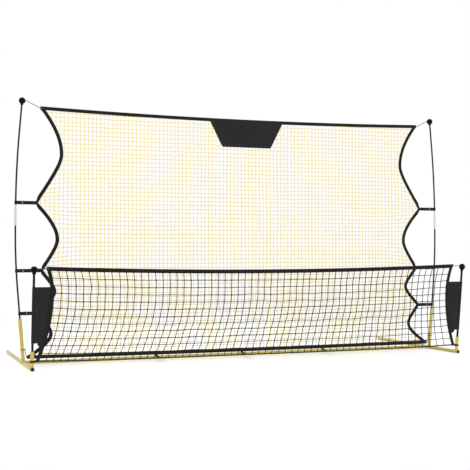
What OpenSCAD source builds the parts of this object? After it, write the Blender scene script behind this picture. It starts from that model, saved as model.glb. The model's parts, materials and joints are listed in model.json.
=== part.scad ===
// Two-net football rebounder. A tall fine net hangs between two bowed poles, and a low
// coarse net hangs between two short poles in front of it. Both stand on a base of round
// steel tube: two feet that run front to back, and a crossbar in plug-in sections.
// +X is to the right, +Y to the back and +Z up. The origin is on the ground, under the
// middle of the plan. Each right-hand piece is drawn once and mirrored for the left.

/* [Base] */
// Distance between the centrelines of the two foot tubes
foot_spacing = 3196; // [2800:2:3600]
// Length of a foot tube over its end plugs
foot_length = 1250; // [1000:5:1600]
// Outer diameter of the steel tubes
tube_d = 25; // [23:0.5:28]
// Wall of the steel tubes
tube_wall = 1.5; // [1.2:0.1:2]
// Distance from the front ends of the feet back to the crossbar
crossbar_setback = 415; // [320:5:600]
// Height of the crossbar's centreline above those of the feet
crossbar_raise = 3.5; // [3:0.5:8]
// Length of the middle crossbar section between its shoulders
middle_section = 1060; // [900:10:1400]
// Length of each spigot that plugs into a crossbar section
spigot_length = 100; // [80:5:140]
// Radial clearance between a spigot and the tube over it
spigot_gap = 0.2; // [0.1:0.05:0.3]
// Thickness of the head of an end plug
plug_head = 4; // [3:0.5:8]
// Length of an end plug inside its tube
plug_depth = 22; // [12:1:40]

/* [Snap buttons] */
// Diameter of a snap button
button_d = 8; // [6:0.5:9]
// Height of a button above the tube it locks
button_proud = 3; // [2:0.5:4]
// Distance from the end of a crossbar section to its button
button_inset = 45; // [35:1:60]
// Thickness of the spring clip under a button
clip_t = 0.8; // [0.6:0.1:1]

/* [Rear poles] */
// Diameter of a rear fibreglass pole
rear_pole_d = 12; // [10:0.5:14]
// Height of the top of a rear socket
rear_socket_top = 312; // [240:2:400]
// Outward lean of a rear socket, in degrees
socket_lean = 4.57; // [3:0.01:6]
// Height at which the lower pole starts to bend inwards
bend_start = 528; // [450:2:600]
// Height of the bottom of the ferrule
ferrule_z = 952; // [860:2:1000]
// Length of the ferrule
ferrule_length = 144; // [100:2:180]
// Outer diameter of the ferrule
ferrule_d = 15; // [14.5:0.5:18]
// Inward lean of the ferrule, in degrees
ferrule_lean = 0.6; // [0.2:0.1:1.5]
// Height at which the upper pole stops bending
bend_end = 1600; // [1400:5:1650]
// Inward lean of the pole tip, in degrees
tip_lean = 4.86; // [3:0.01:6]
// Height of the centre of a rear ball cap
rear_ball_z = 1811; // [1790:1:1850]

/* [Front poles] */
// Diameter of a front fibreglass pole
front_pole_d = 16; // [12:0.5:18]
// Distance from the front ends of the feet back to the front sockets
front_socket_setback = 29; // [28:1:80]
// Height of the top of a front socket
front_socket_top = 124; // [100:2:160]
// Forward lean of the front poles, in degrees
front_lean = 7.4; // [0:0.2:10]
// Height of the centre of a front ball cap
front_ball_z = 657; // [640:1:700]

/* [Caps and bushes] */
// Diameter of the ball caps
ball_d = 46; // [40:1:56]
// Length of a pole bush inside its socket
bush_length = 60; // [30:5:80]
// Thickness of the flange of a pole bush
bush_flange = 3; // [2:0.5:5]
// Radial clearance round a pole in its bush, ferrule or cap
pole_gap = 0.15; // [0.1:0.05:0.3]

/* [Rear net] */
// Height of the top corners of the rear net
rear_top_z = 1766; // [1750:1:1780]
// Distance from above a foot in to a top corner
rear_top_inset = 124; // [108:1:158]
// Sag of the top edge at mid span
rear_top_sag = 24; // [0:1:50]
// Height of the bottom edge at mid span
rear_bottom_z = 45; // [44:0.5:60]
// Rise of the bottom edge from mid span to the corners
rear_bottom_rise = 6; // [0:0.5:12]
// Distance from above a foot in to a bottom corner
rear_bottom_inset = 36; // [28:1:58]
// Depth of the first scallop, from the top, inside the top corner
scallop_1 = 135; // [80:1:180]
// Depth of the second scallop inside the upper strap's end
scallop_2 = 150; // [80:1:180]
// Depth of the third scallop inside the middle strap's end
scallop_3 = 94; // [60:1:130]
// Depth of the fourth scallop inside the lower strap's end
scallop_4 = 87; // [60:1:130]
// Width of the webbing round the nets
webbing_w = 25; // [18:1:30]
// Thickness of the webbing round the nets
webbing_t = 4; // [3:0.5:6]
// Pitch of the rear net's cords
rear_pitch = 150; // [140:5:300]
// Thickness of the rear net's cords
rear_cord = 3; // [2:0.5:4]

/* [Side straps] */
// Height of the middle strap
middle_strap_z = 643; // [600:1:700]
// Height of the lower strap
lower_strap_z = 350; // [335:1:400]
// Distance from the pole to the end of the upper strap
upper_strap_length = 135; // [120:1:150]
// Distance from the pole to the end of the middle strap
middle_strap_length = 168; // [130:1:180]
// Distance from the pole to the end of the lower strap
lower_strap_length = 128; // [120:1:150]
// Thickness of one layer of strap
strap_t = 1.6; // [1.2:0.1:2.4]
// Distance from the pole to a slider buckle
buckle_reach = 46; // [42:1:60]
// Width of a slider buckle along its strap
buckle_w = 22; // [18:1:26]
// Thickness of a slider buckle's bars
buckle_bar = 2; // [1.5:0.1:3]

/* [Target panel] */
// Width of the panel along its top
panel_top_w = 596; // [400:2:800]
// Width of the panel along its bottom
panel_bottom_w = 398; // [300:2:440]
// Height of the panel
panel_h = 208; // [120:2:260]
// Distance of the panel to the right of the middle
panel_shift = 40; // [0:1:100]
// Radius of the panel's lower corners
panel_corner = 18; // [6:1:40]

/* [Front net] */
// Height of the top corners of the front net
front_top_z = 664; // [645:1:670]
// Sag of the top edge of the front net
front_top_sag = 28; // [0:1:60]
// Distance from above a foot in to a top corner of the front net
front_top_inset = 91; // [78:1:108]
// Distance from above a foot in to the narrowest part of the front net
front_waist_inset = 119; // [98:1:148]
// Height of the narrowest part of the front net
front_waist_z = 500; // [400:1:560]
// Distance from above a foot in to a bottom corner of the front net
front_bottom_inset = 32; // [28:1:48]
// Height of the bottom corners of the front net
front_corner_z = 63; // [58:1:80]
// Height of the bottom edge of the front net at mid span
front_bottom_z = 30; // [22:1:60]
// Distance by which the ties draw the bottom edge back at mid span
front_draw = 190; // [60:1:230]
// Width of the webbing along the bottom of the front net
hem_w = 8; // [6:1:20]
// Columns of gaps in the front net
front_columns = 30; // [10:1:40]
// Rows of gaps in the front net
front_rows = 6; // [4:1:8]
// Thickness of the front net's cords
front_cord = 5; // [3:0.5:6]

/* [Wings, cords and ties] */
// Height of the top of a fabric wing
wing_top_z = 545; // [500:1:600]
// Height of the bottom of a wing at the pole
wing_bottom_z = 180; // [150:1:240]
// Height at which a wing's lower edge meets the net
wing_tail_z = 155; // [130:1:175]
// Thickness of the wing fabric
wing_t = 2; // [1.5:0.5:4]
// Diameter of the elastic cords
elastic_d = 5; // [4:0.5:6]
// Height at which the lower cords go round the rear sockets
lower_cord_z = 104; // [90:1:130]
// Distance from the middle to the outer ties
tie_x = 656; // [500:2:800]
// Width of a tie
tie_w = 20; // [15:1:30]
// Thickness of a tie
tie_t = 1.5; // [1:0.1:2]
// Width of the loops round the front sockets
loop_w = 14; // [8:1:24]

/* [Hidden] */
$fn = 48;
steel = [0.92, 0.78, 0.34];
black = [0.14, 0.14, 0.14];
webbing_black = [0.17, 0.17, 0.17];
fabric_black = [0.2, 0.2, 0.2];
cream = [0.96, 0.9, 0.72];
silver = [0.75, 0.76, 0.78];
elastic_grey = [0.52, 0.52, 0.53];
nylon = [0.82, 0.81, 0.75];

// Gaps that keep neighbours apart at rest
seat_gap = 0.3;
weld_gap = 0.1;
seam_gap = 0.5;
hem_gap = 0.9;
strap_slack = 1.2;
section_gap = 0.5;

// Base
tube_r = tube_d / 2;
tube_id = tube_d - 2 * tube_wall;
spigot_d = tube_id - 2 * spigot_gap;
spigot_id = spigot_d - 2 * tube_wall;
swage = 3;
foot_x = foot_spacing / 2;
foot_z = tube_r;
crossbar_z = foot_z + crossbar_raise;
section_end_x = foot_x - tube_r - section_gap;

// The front ball caps overhang the feet, so the plan runs from their front to the rear plugs
ball_r = ball_d / 2;
ball_lean = (front_ball_z - foot_z) * tan(front_lean);
overhang = max(0, ball_lean + ball_r - front_socket_setback);
front_y = -(foot_length - overhang) / 2;
rear_y = front_y + foot_length;
crossbar_y = front_y + crossbar_setback;
front_socket_y = front_y + front_socket_setback;

// Snap buttons, measured from the crossbar's centreline
button_flange_d = button_d + 4;
button_flange_t = 1.2;
flange_top = sqrt(pow(spigot_id / 2, 2) - pow(button_flange_d / 2, 2)) - 0.3;
button_top = tube_r + button_proud;
button_travel = button_proud + tube_wall;
clip_w = button_d;
clip_bottom = -sqrt(pow(spigot_id / 2, 2) - pow(clip_w / 2, 2)) + 0.2;
button_xs = [
    -section_end_x + button_inset,
    -middle_section / 2 - button_inset,
    middle_section / 2 + button_inset,
    section_end_x - button_inset
];

// Rear pole: straight, bent inwards, straight in the ferrule, bent again, straight to the tip
ferrule_top = ferrule_z + ferrule_length * cos(ferrule_lean);
lower_bend_r = (ferrule_z - bend_start) / (sin(socket_lean) + sin(ferrule_lean));
upper_bend_r = (bend_end - ferrule_top) / (sin(tip_lean) - sin(ferrule_lean));
bend_start_x = foot_x + (bend_start - foot_z) * tan(socket_lean);
ferrule_x = bend_start_x + lower_bend_r * (cos(ferrule_lean) - cos(socket_lean));
ferrule_top_x = ferrule_x - ferrule_length * sin(ferrule_lean);
bend_end_x = ferrule_top_x - upper_bend_r * (cos(ferrule_lean) - cos(tip_lean));
rear_ball_x = bend_end_x - (rear_ball_z - bend_end) * tan(tip_lean);
pole_seat = tube_r + weld_gap + seat_gap;
rear_socket_length = (rear_socket_top - foot_z) / cos(socket_lean);
cap_grip = 6;
tip_relief = 0.05;
tip_overlap = 1;

function arc_x(z, x0, z0, r, lean) =
    x0 + r * (cos(asin(sin(lean) - (z - z0) / r)) - cos(lean));

function pole_x(z) =
    z <= bend_start ? foot_x + (z - foot_z) * tan(socket_lean) :
    z <= ferrule_z ? arc_x(z, bend_start_x, bend_start, lower_bend_r, socket_lean) :
    z <= ferrule_top ? ferrule_x - (z - ferrule_z) * tan(ferrule_lean) :
    z <= bend_end ? arc_x(z, ferrule_top_x, ferrule_top, upper_bend_r, -ferrule_lean) :
    bend_end_x - (z - bend_end) * tan(tip_lean);

// Front poles stand in one leaning plane, in which heights are measured as runs along the pole
front_socket_length = (front_socket_top - foot_z) / cos(front_lean);
front_pole_seat = (pole_seat + front_pole_d / 2 * sin(front_lean)) / cos(front_lean);

function run(z) = (z - foot_z) / cos(front_lean);

function plane_y(z) = front_socket_y - (z - foot_z) * tan(front_lean);

// Half widths of the nets at their corners and at the front net's waist
rear_top_x = foot_x - rear_top_inset;
rear_bottom_x = foot_x - rear_bottom_inset;
front_top_x = foot_x - front_top_inset;
front_waist_x = foot_x - front_waist_inset;
front_bottom_x = foot_x - front_bottom_inset;

// Side straps and the scalloped edge of the rear net
upper_strap_z = ferrule_top + webbing_w / 2 + 1.5;
strap_zs = [upper_strap_z, middle_strap_z, lower_strap_z];
strap_lengths = [upper_strap_length, middle_strap_length, lower_strap_length];
strap_hole_r = rear_pole_d / 2 + strap_slack;
strap_end_xs = [for (i = [0:2]) pole_x(strap_zs[i]) - strap_lengths[i]];
strap_taper = 22;
edge_zs = [rear_top_z, upper_strap_z, middle_strap_z, lower_strap_z,
    rear_bottom_z + rear_bottom_rise];
edge_xs = [rear_top_x, strap_end_xs[0], strap_end_xs[1], strap_end_xs[2], rear_bottom_x];
nose_xs = [rear_top_x - scallop_1, strap_end_xs[0] - scallop_2,
    strap_end_xs[1] - scallop_3, strap_end_xs[2] - scallop_4];
// Share of each scallop's height at which it is deepest, and how round it is above and below
nose_shares = [0.48, 0.54, 0.495, 0.48];
round_above = [1.2, 0.7, 0.25, 0.3];
round_below = [0.25, 0.3, 0.3, 0.6];
scallop_steps = 14;

// A curve from 0 to 1 that starts flat; a small b makes a tight nose and straight flanks
function bulge(t, b) = (sqrt(t * t + b * b) - b) / (sqrt(1 + b * b) - b);

function bulge_slope(t, b) = t / sqrt(t * t + b * b) / (sqrt(1 + b * b) - b);

function nose_z(i) = edge_zs[i] + (edge_zs[i + 1] - edge_zs[i]) * nose_shares[i];

// Place and steepness of the webbing's centreline in scallop i at height z
function scallop(i, z) =
    let (up = z >= nose_z(i))
    let (end_z = up ? edge_zs[i] : edge_zs[i + 1])
    let (end_x = up ? edge_xs[i] : edge_xs[i + 1])
    let (b = up ? round_above[i] : round_below[i])
    let (t = abs((z - nose_z(i)) / (end_z - nose_z(i))))
    let (rise = end_x - nose_xs[i])
    [nose_xs[i] + rise * bulge(t, b), rise * bulge_slope(t, b) / abs(end_z - nose_z(i))];

function scallop_cap(i, z) =
    z >= nose_z(i) ? (i == 0 ? rear_top_x + webbing_w / 2 : edge_xs[i])
    : (i == 3 ? rear_bottom_x + webbing_w / 2 : edge_xs[i + 1]);

// Edge of the webbing: side is 1 for its outer edge and -1 for its inner one
function edge_at(i, z, side) =
    let (s = scallop(i, z))
    min(s[0] + side * webbing_w / 2 * sqrt(1 + s[1] * s[1]), scallop_cap(i, z));

side_top_z = rear_top_z - webbing_w / 2 - 2 * seam_gap;
side_bottom_z = rear_bottom_z + rear_bottom_rise + webbing_w / 2 + seam_gap;

function scallop_z(i, k) =
    let (z0 = i == 0 ? side_top_z : edge_zs[i])
    let (z1 = i == 3 ? side_bottom_z : edge_zs[i + 1])
    z0 + (z1 - z0) * k / scallop_steps;

function side_edge(side, shift = 0) = [
    for (i = [0:3]) for (k = [0:scallop_steps - (i == 3 ? 0 : 1)])
        [edge_at(i, scallop_z(i, k), side) + shift, scallop_z(i, k)]
];

function rear_top(x) = rear_top_z - rear_top_sag * (1 - pow(x / rear_top_x, 2));

function rear_bottom(x) = rear_bottom_z + rear_bottom_rise * pow(x / rear_bottom_x, 2);

function reverse(list) = [for (i = [len(list) - 1:-1:0]) list[i]];

function mirrored(list) = [for (p = list) [-p[0], p[1]]];

// Front net, whose edge follows two parabolas that meet at its waist
function front_edge(z) =
    z >= front_waist_z
    ? front_waist_x + (front_top_x - front_waist_x)
        * pow((z - front_waist_z) / (front_top_z - front_waist_z), 2)
    : front_waist_x + (front_bottom_x - front_waist_x)
        * pow((front_waist_z - z) / (front_waist_z - front_corner_z), 2);

function front_top(x) = front_top_z - front_top_sag * (1 - pow(x / front_top_x, 2));

function net_edge(z) = front_edge(z) - webbing_w / 2 - seam_gap;

// Heights of the net's top and bottom cords, at share u of the half width
function front_top_at(u) =
    front_top(u * net_edge(front_top_z - webbing_w / 2)) - webbing_w / 2 - seam_gap;

function front_bottom_at(u) =
    front_bottom_z + (front_corner_z - front_bottom_z) * pow(abs(u), 4) + hem_w / 2 + seam_gap;

function front_z(u, v) = front_top_at(u) + (front_bottom_at(u) - front_top_at(u)) * v;

// Share of the front net's height at which the ties' pull begins, and how soft that bend is
draw_start = 0.3;
draw_bend = 0.25;
function draw(v) = bulge(max(0, v - draw_start) / (1 - draw_start), draw_bend);

// Point of the front net: u runs across from -1 to 1, and v down from 0 to 1
side_steps = 24;
function front_point(u, v) =
    let (z = front_z(u, v))
    [u * net_edge(z), plane_y(z) + front_draw * draw(v) * (1 - pow(abs(u), 4)), z];

function unit(p) = p / norm(p);

function front_down(u) = unit(front_point(u, 1) - front_point(u, 0.98));

// Point of the hem at share u, a given distance below its upper edge
function hem_point(u, depth) = front_point(u, 1) + front_down(u) * (hem_gap + depth);
hem_steps = 32;

// Ball caps, and the points where the elastic cords enter them
cord_seat = 8;
cord_gap = 0.3;
rear_ball = [rear_ball_x, crossbar_y, rear_ball_z];
front_ball = [foot_x, plane_y(front_ball_z), front_ball_z];
rear_cord_angle = 35;
front_cord_angle = 25;
rear_cord_in = rear_ball
    + (ball_r - cord_seat) * [-cos(rear_cord_angle), 0, sin(rear_cord_angle)];
front_cord_in = front_ball
    + (ball_r - cord_seat) * [-cos(front_cord_angle), 0, sin(front_cord_angle)];
rear_cord_out = [rear_top_x + webbing_w / 2 + 2, crossbar_y, rear_top_z];
front_cord_out = [front_top_x + webbing_w / 2 + 2, plane_y(front_top_z), front_top_z];

module left() {
    mirror([1, 0, 0]) children();
}

module tube(outer, inner, length) {
    difference() {
        cylinder(h = length, d = outer);
        translate([0, 0, -1]) cylinder(h = length + 2, d = inner);
    }
}

// A straight rod between two points
module rod(a, b, d) {
    v = b - a;
    translate(a) rotate([0, acos(v[2] / norm(v)), atan2(v[1], v[0])])
        cylinder(h = norm(v), d = d, $fn = 24);
}

// A flat shape in the upright XZ plane, centred on y, of thickness t
module upright(y, t) {
    translate([0, y + t / 2, 0]) rotate([90, 0, 0]) linear_extrude(height = t) children();
}

// A flat shape in the leaning plane of the front poles
module leaning(t) {
    translate([0, front_socket_y, foot_z]) rotate([90 + front_lean, 0, 0])
        translate([0, 0, -t / 2]) linear_extrude(height = t) children();
}

module at_rear_socket() {
    translate([foot_x, crossbar_y, foot_z]) rotate([0, socket_lean, 0]) children();
}

module at_front_socket() {
    translate([foot_x, front_socket_y, foot_z]) rotate([front_lean, 0, 0]) children();
}

// The solid outline of a foot tube, which cuts whatever is welded to it
module foot_core() {
    translate([foot_x, front_y, foot_z]) rotate([-90, 0, 0])
        cylinder(h = foot_length, r = tube_r + weld_gap);
}

module foot_tube() {
    color(steel)
        translate([foot_x, front_y + plug_head, foot_z]) rotate([-90, 0, 0])
            tube(tube_d, tube_id, foot_length - 2 * plug_head);
}

module rear_socket() {
    color(steel) difference() {
        at_rear_socket() tube(tube_d, tube_id, rear_socket_length);
        foot_core();
    }
}

module front_socket() {
    color(steel) difference() {
        at_front_socket() tube(tube_d, tube_id, front_socket_length);
        foot_core();
    }
}

// The spigot welded to a foot, with the hole for its snap button
module crossbar_stub() {
    color(steel) difference() {
        translate([foot_x, crossbar_y, crossbar_z]) rotate([0, -90, 0])
            tube(spigot_d, spigot_id, tube_r + section_gap + spigot_length);
        foot_core();
        at_rear_socket() cylinder(h = tube_d * 2, r = tube_r + weld_gap);
        button_hole(button_xs[3]);
    }
}

module button_hole(x) {
    translate([x, crossbar_y, crossbar_z])
        cylinder(h = tube_d, d = button_d + 2 * spigot_gap);
}

// The outer section, which slides over the foot's stub and the middle section's spigot
module outer_crossbar() {
    start = middle_section / 2 + section_gap;
    color(steel) difference() {
        translate([start, crossbar_y, crossbar_z]) rotate([0, 90, 0])
            tube(tube_d, tube_id, section_end_x - start);
        button_hole(button_xs[2]);
        button_hole(button_xs[3]);
    }
}

// Half of the middle section: full tube, then swaged down to its spigot
module middle_half() {
    shoulder = middle_section / 2;
    tip = shoulder + spigot_length;
    translate([0, crossbar_y, crossbar_z]) rotate([0, 90, 0])
        rotate_extrude() polygon([
            [tube_id / 2, 0], [tube_r, 0], [tube_r, shoulder - swage],
            [spigot_d / 2, shoulder], [spigot_d / 2, tip], [spigot_id / 2, tip],
            [spigot_id / 2, shoulder - swage], [tube_id / 2, shoulder - 2 * swage]
        ]);
}

module middle_crossbar() {
    color(steel) difference() {
        union() {
            middle_half();
            left() middle_half();
        }
        for (i = [1, 2]) button_hole(button_xs[i]);
    }
}

// Round plug with a chamfered head
module end_plug() {
    bore = tube_id / 2 - 0.1;
    rotate_extrude() polygon([
        [0, 0], [tube_r - 1.5, 0], [tube_r - 0.1, 1.5], [tube_r - 0.1, plug_head],
        [bore, plug_head], [bore, plug_head + plug_depth], [0, plug_head + plug_depth]
    ]);
}

module end_plugs() {
    color(black) for (x = [-foot_x, foot_x]) {
        translate([x, front_y, foot_z]) rotate([-90, 0, 0]) end_plug();
        translate([x, rear_y, foot_z]) rotate([90, 0, 0]) end_plug();
    }
}

// Button with a rounded head, and a flange that stops it under the spigot's wall
module snap_button(i) {
    head = 1.5;
    color(silver) translate([button_xs[i], crossbar_y, crossbar_z])
        rotate_extrude() polygon([
            [0, flange_top - button_flange_t], [button_flange_d / 2, flange_top - button_flange_t],
            [button_flange_d / 2, flange_top], [button_d / 2, flange_top],
            [button_d / 2, button_top - head],
            for (a = [20:20:80]) [button_d / 2 - head + head * cos(a), button_top - head + head * sin(a)],
            [button_d / 2 - head, button_top], [0, button_top]
        ]);
}

// Bent leaf of spring steel that pushes the button up from the opposite wall
module spring_clip(i) {
    top = flange_top - button_flange_t - 0.2;
    toe = button_flange_d / 2;
    heel = -3 * button_d;
    middle = (top + clip_bottom) / 2;
    color(silver) translate([button_xs[i], crossbar_y + clip_w / 2, crossbar_z])
        rotate([90, 0, 0]) linear_extrude(height = clip_w) polygon([
            [toe, top], [-toe, top], [heel, middle + clip_t], [heel - clip_t, middle],
            [heel, middle - clip_t], [-toe, clip_bottom], [toe, clip_bottom],
            [toe, clip_bottom + clip_t], [-toe, clip_bottom + clip_t], [heel + clip_t, middle],
            [-toe, top - clip_t], [toe, top - clip_t]
        ]);
}

module bush(length, pole_d) {
    difference() {
        union() {
            translate([0, 0, -length]) cylinder(h = length, d = tube_id - 2 * pole_gap);
            cylinder(h = bush_flange, d = tube_d);
        }
        translate([0, 0, -length - 1])
            cylinder(h = length + bush_flange + 2, d = pole_d + 2 * pole_gap);
    }
}

module rear_bushes() {
    color(nylon) for (m = [0, 1]) mirror([m, 0, 0])
        at_rear_socket() translate([0, 0, rear_socket_length]) bush(bush_length, rear_pole_d);
}

module front_bushes() {
    color(nylon) for (m = [0, 1]) mirror([m, 0, 0])
        at_front_socket() translate([0, 0, front_socket_length]) bush(bush_length, front_pole_d);
}

// A bent stretch of pole that starts at the origin, square to it, and curves inwards
module pole_bend(r, angle, up) {
    translate([-r, 0, 0]) rotate([up ? 90 : -90, 0, 0])
        rotate_extrude(angle = angle, $fn = 1440) translate([r, 0])
            circle(d = rear_pole_d, $fn = 32);
}

module pole_straight(length, up) {
    translate([0, 0, up ? 0 : -length]) cylinder(h = length, d = rear_pole_d, $fn = 32);
}

// A pole's tip, turned down a little, between two distances along the ferrule
module pole_tip(from, to) {
    at_ferrule() translate([0, 0, from])
        cylinder(h = to - from, d = rear_pole_d - 2 * tip_relief, $fn = 32);
}

module at_ferrule() {
    translate([ferrule_x, crossbar_y, ferrule_z]) rotate([0, -ferrule_lean, 0]) children();
}

module lower_pole() {
    straight = (bend_start - foot_z) / cos(socket_lean);
    color(black) {
        at_rear_socket() translate([0, 0, straight]) {
            pole_straight(straight - pole_seat, false);
            pole_bend(lower_bend_r, socket_lean + ferrule_lean, true);
        }
        pole_tip(-tip_overlap, ferrule_length / 2 - seat_gap);
    }
}

module ferrule() {
    color(silver) at_ferrule()
        tube(ferrule_d, rear_pole_d + 2 * pole_gap, ferrule_length);
}

module upper_pole() {
    color(black) {
        translate([bend_end_x, crossbar_y, bend_end]) rotate([0, -tip_lean, 0]) {
            pole_straight((rear_ball_z - bend_end) / cos(tip_lean) + cap_grip - seat_gap, true);
            pole_bend(upper_bend_r, tip_lean - ferrule_lean, false);
        }
        pole_tip(ferrule_length / 2, ferrule_length + tip_overlap);
    }
}

// Moulded ball with a short collar, the pole's bore and the cord's hole
module ball_cap(centre, tilt, pole_d, cord_in, cord_out) {
    collar = 6;
    color(black) difference() {
        translate(centre) rotate(tilt) union() {
            sphere(d = ball_d, $fn = 64);
            translate([0, 0, -ball_r - collar]) cylinder(h = ball_r, d = pole_d + 8);
        }
        translate(centre) rotate(tilt) translate([0, 0, -ball_r - collar - 1])
            cylinder(h = ball_r + collar + 1 + cap_grip, d = pole_d + 2 * pole_gap);
        rod(cord_in, cord_out, elastic_d + 2 * cord_gap);
    }
}

module rear_ball_cap() {
    ball_cap(rear_ball, [0, -tip_lean, 0], rear_pole_d, rear_cord_in, rear_cord_out);
}

module front_pole() {
    color(black) at_front_socket() translate([0, 0, front_pole_seat])
        cylinder(h = run(front_ball_z) + cap_grip - seat_gap - front_pole_seat,
            d = front_pole_d, $fn = 32);
}

module front_ball_cap() {
    ball_cap(front_ball, [front_lean, 0, 0], front_pole_d, front_cord_in, front_cord_out);
}

// Knotless net: crossed cords, cut to the scalloped outline just inside the webbing
module rear_net() {
    inner = side_edge(-1, -seam_gap);
    top_x = inner[0][0];
    bottom_x = inner[len(inner) - 1][0];
    steps = 16;
    lift = webbing_w / 2 + seam_gap;
    top = [for (k = [1:steps - 1]) let (x = top_x * (2 * k / steps - 1)) [x, rear_top(x) - lift]];
    bottom = [for (k = [1:steps - 1]) let (x = bottom_x * (1 - 2 * k / steps))
        [x, rear_bottom(x) + lift]];
    outline = concat(top, inner, bottom, reverse(mirrored(inner)));
    columns = floor(rear_top_x / rear_pitch);
    rows = floor((rear_top_z - rear_bottom_z) / 2 / rear_pitch);
    middle = (rear_top_z + rear_bottom_z) / 2;
    span = foot_spacing;
    color(cream) upright(crossbar_y, rear_cord) intersection() {
        polygon(outline);
        union() {
            for (i = [-columns:columns]) translate([i * rear_pitch, middle])
                square([rear_cord, 2 * rear_top_z], center = true);
            for (j = [-rows:rows]) translate([0, middle + j * rear_pitch])
                square([span, rear_cord], center = true);
        }
    }
}

// A band of webbing along a curve z(x), from -end to end
module rear_band(end, upper, steps = 16) {
    xs = [for (k = [0:steps]) end * (2 * k / steps - 1)];
    mid = upper ? [for (x = xs) rear_top(x)] : [for (x = xs) rear_bottom(x)];
    polygon(concat(
        [for (k = [0:steps]) [xs[k], mid[k] + webbing_w / 2]],
        [for (k = [steps:-1:0]) [xs[k], mid[k] - webbing_w / 2]]
    ));
}

module rear_top_webbing() {
    color(webbing_black) upright(crossbar_y, webbing_t)
        rear_band(rear_top_x + webbing_w / 2, true);
}

module rear_bottom_webbing() {
    color(webbing_black) upright(crossbar_y, webbing_t)
        rear_band(rear_bottom_x + webbing_w / 2, false);
}

module rear_side_webbing() {
    color(webbing_black) upright(crossbar_y, webbing_t)
        polygon(concat(side_edge(1), reverse(side_edge(-1))));
}

// Plain panel sewn to the front of the top edge, with rounded lower corners
module target_panel() {
    top = rear_top(panel_shift + panel_top_w / 2) + webbing_w / 2 - 2;
    low = top - panel_h + panel_corner;
    inset = panel_bottom_w / 2 - panel_corner;
    color(fabric_black) upright(crossbar_y - webbing_t / 2 - wing_t / 2, wing_t)
        translate([panel_shift, 0]) hull() {
            translate([-panel_top_w / 2, top - 2]) square([panel_top_w, 2]);
            for (s = [-1, 1]) translate([s * inset, low]) circle(r = panel_corner, $fn = 24);
        }
}

// Strap that loops the pole, closes to a double layer and runs to the net's edge
module strap(i) {
    loop_r = strap_hole_r + strap_t;
    translate([pole_x(strap_zs[i]), crossbar_y, strap_zs[i] - webbing_w / 2])
        linear_extrude(height = webbing_w) difference() {
            union() {
                circle(r = loop_r);
                polygon([
                    [0, loop_r], [-strap_taper, strap_t],
                    [-strap_lengths[i] + seat_gap, strap_t],
                    [-strap_lengths[i] + seat_gap, -strap_t],
                    [-strap_taper, -strap_t], [0, -loop_r]
                ]);
            }
            circle(r = strap_hole_r);
            polygon([[0, strap_hole_r - 0.4], [-strap_taper + 2, 0], [0, -strap_hole_r + 0.4]]);
        }
}

module side_straps() {
    color(webbing_black) for (i = [0:2]) strap(i);
}

// Three-bar slider: its middle bar passes in front of the strap and its outer two behind
module buckle(i) {
    rail = 2;
    bar = 4;
    skin = strap_t + seat_gap;
    face = skin + buckle_bar;
    half = webbing_w / 2 + seat_gap;
    height = 2 * (half + rail);
    side = buckle_w / 2;
    color(silver)
        translate([pole_x(strap_zs[i]) - buckle_reach, crossbar_y, strap_zs[i]]) {
            for (z = [-half - rail, half]) translate([0, 0, z]) linear_extrude(height = rail)
                polygon([
                    [-bar / 2, -face], [bar / 2, -face], [bar / 2 + 1, -skin], [side, skin],
                    [side, face], [-side, face], [-side, skin], [-bar / 2 - 1, -skin]
                ]);
            translate([-bar / 2, -face, -height / 2]) cube([bar, buckle_bar, height]);
            for (x = [-side, side - bar])
                translate([x, skin, -height / 2]) cube([bar, buckle_bar, height]);
        }
}

module rear_top_cords() {
    color(elastic_grey) for (m = [0, 1]) mirror([m, 0, 0])
        rod(rear_cord_in, rear_cord_out, elastic_d);
}

module front_top_cords() {
    color(elastic_grey) for (m = [0, 1]) mirror([m, 0, 0])
        rod(front_cord_in, front_cord_out, elastic_d);
}

// Elastic ring round the rear socket, with a leg down to the net's bottom corner
module rear_lower_cord() {
    ring_r = tube_r + seat_gap + elastic_d / 2;
    lift = (lower_cord_z - foot_z) / cos(socket_lean);
    foot = [rear_bottom_x + webbing_w / 2 + elastic_d / 2 + seat_gap, crossbar_y,
        rear_bottom_z + rear_bottom_rise];
    knot = [pole_x(lower_cord_z) - ring_r * cos(socket_lean), crossbar_y,
        lower_cord_z + ring_r * sin(socket_lean)];
    at_rear_socket() translate([0, 0, lift])
        rotate_extrude() translate([ring_r, 0]) circle(d = elastic_d, $fn = 24);
    rod(knot, foot, elastic_d);
}

module rear_lower_cords() {
    color(elastic_grey) for (m = [0, 1]) mirror([m, 0, 0]) rear_lower_cord();
}

// Side of a flat path at distance d from it, with square corners
function path_side(path, d) = [
    for (k = [0:len(path) - 1])
        let (i = max(k, 1), j = min(k + 1, len(path) - 1))
        let (a = unit(path[i] - path[i - 1]), b = unit(path[j] - path[j - 1]))
        let (m = unit([-a[1] - b[1], a[0] + b[0]]))
        path[k] + m * d / (m[1] * a[0] - m[0] * a[1])
];

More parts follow.
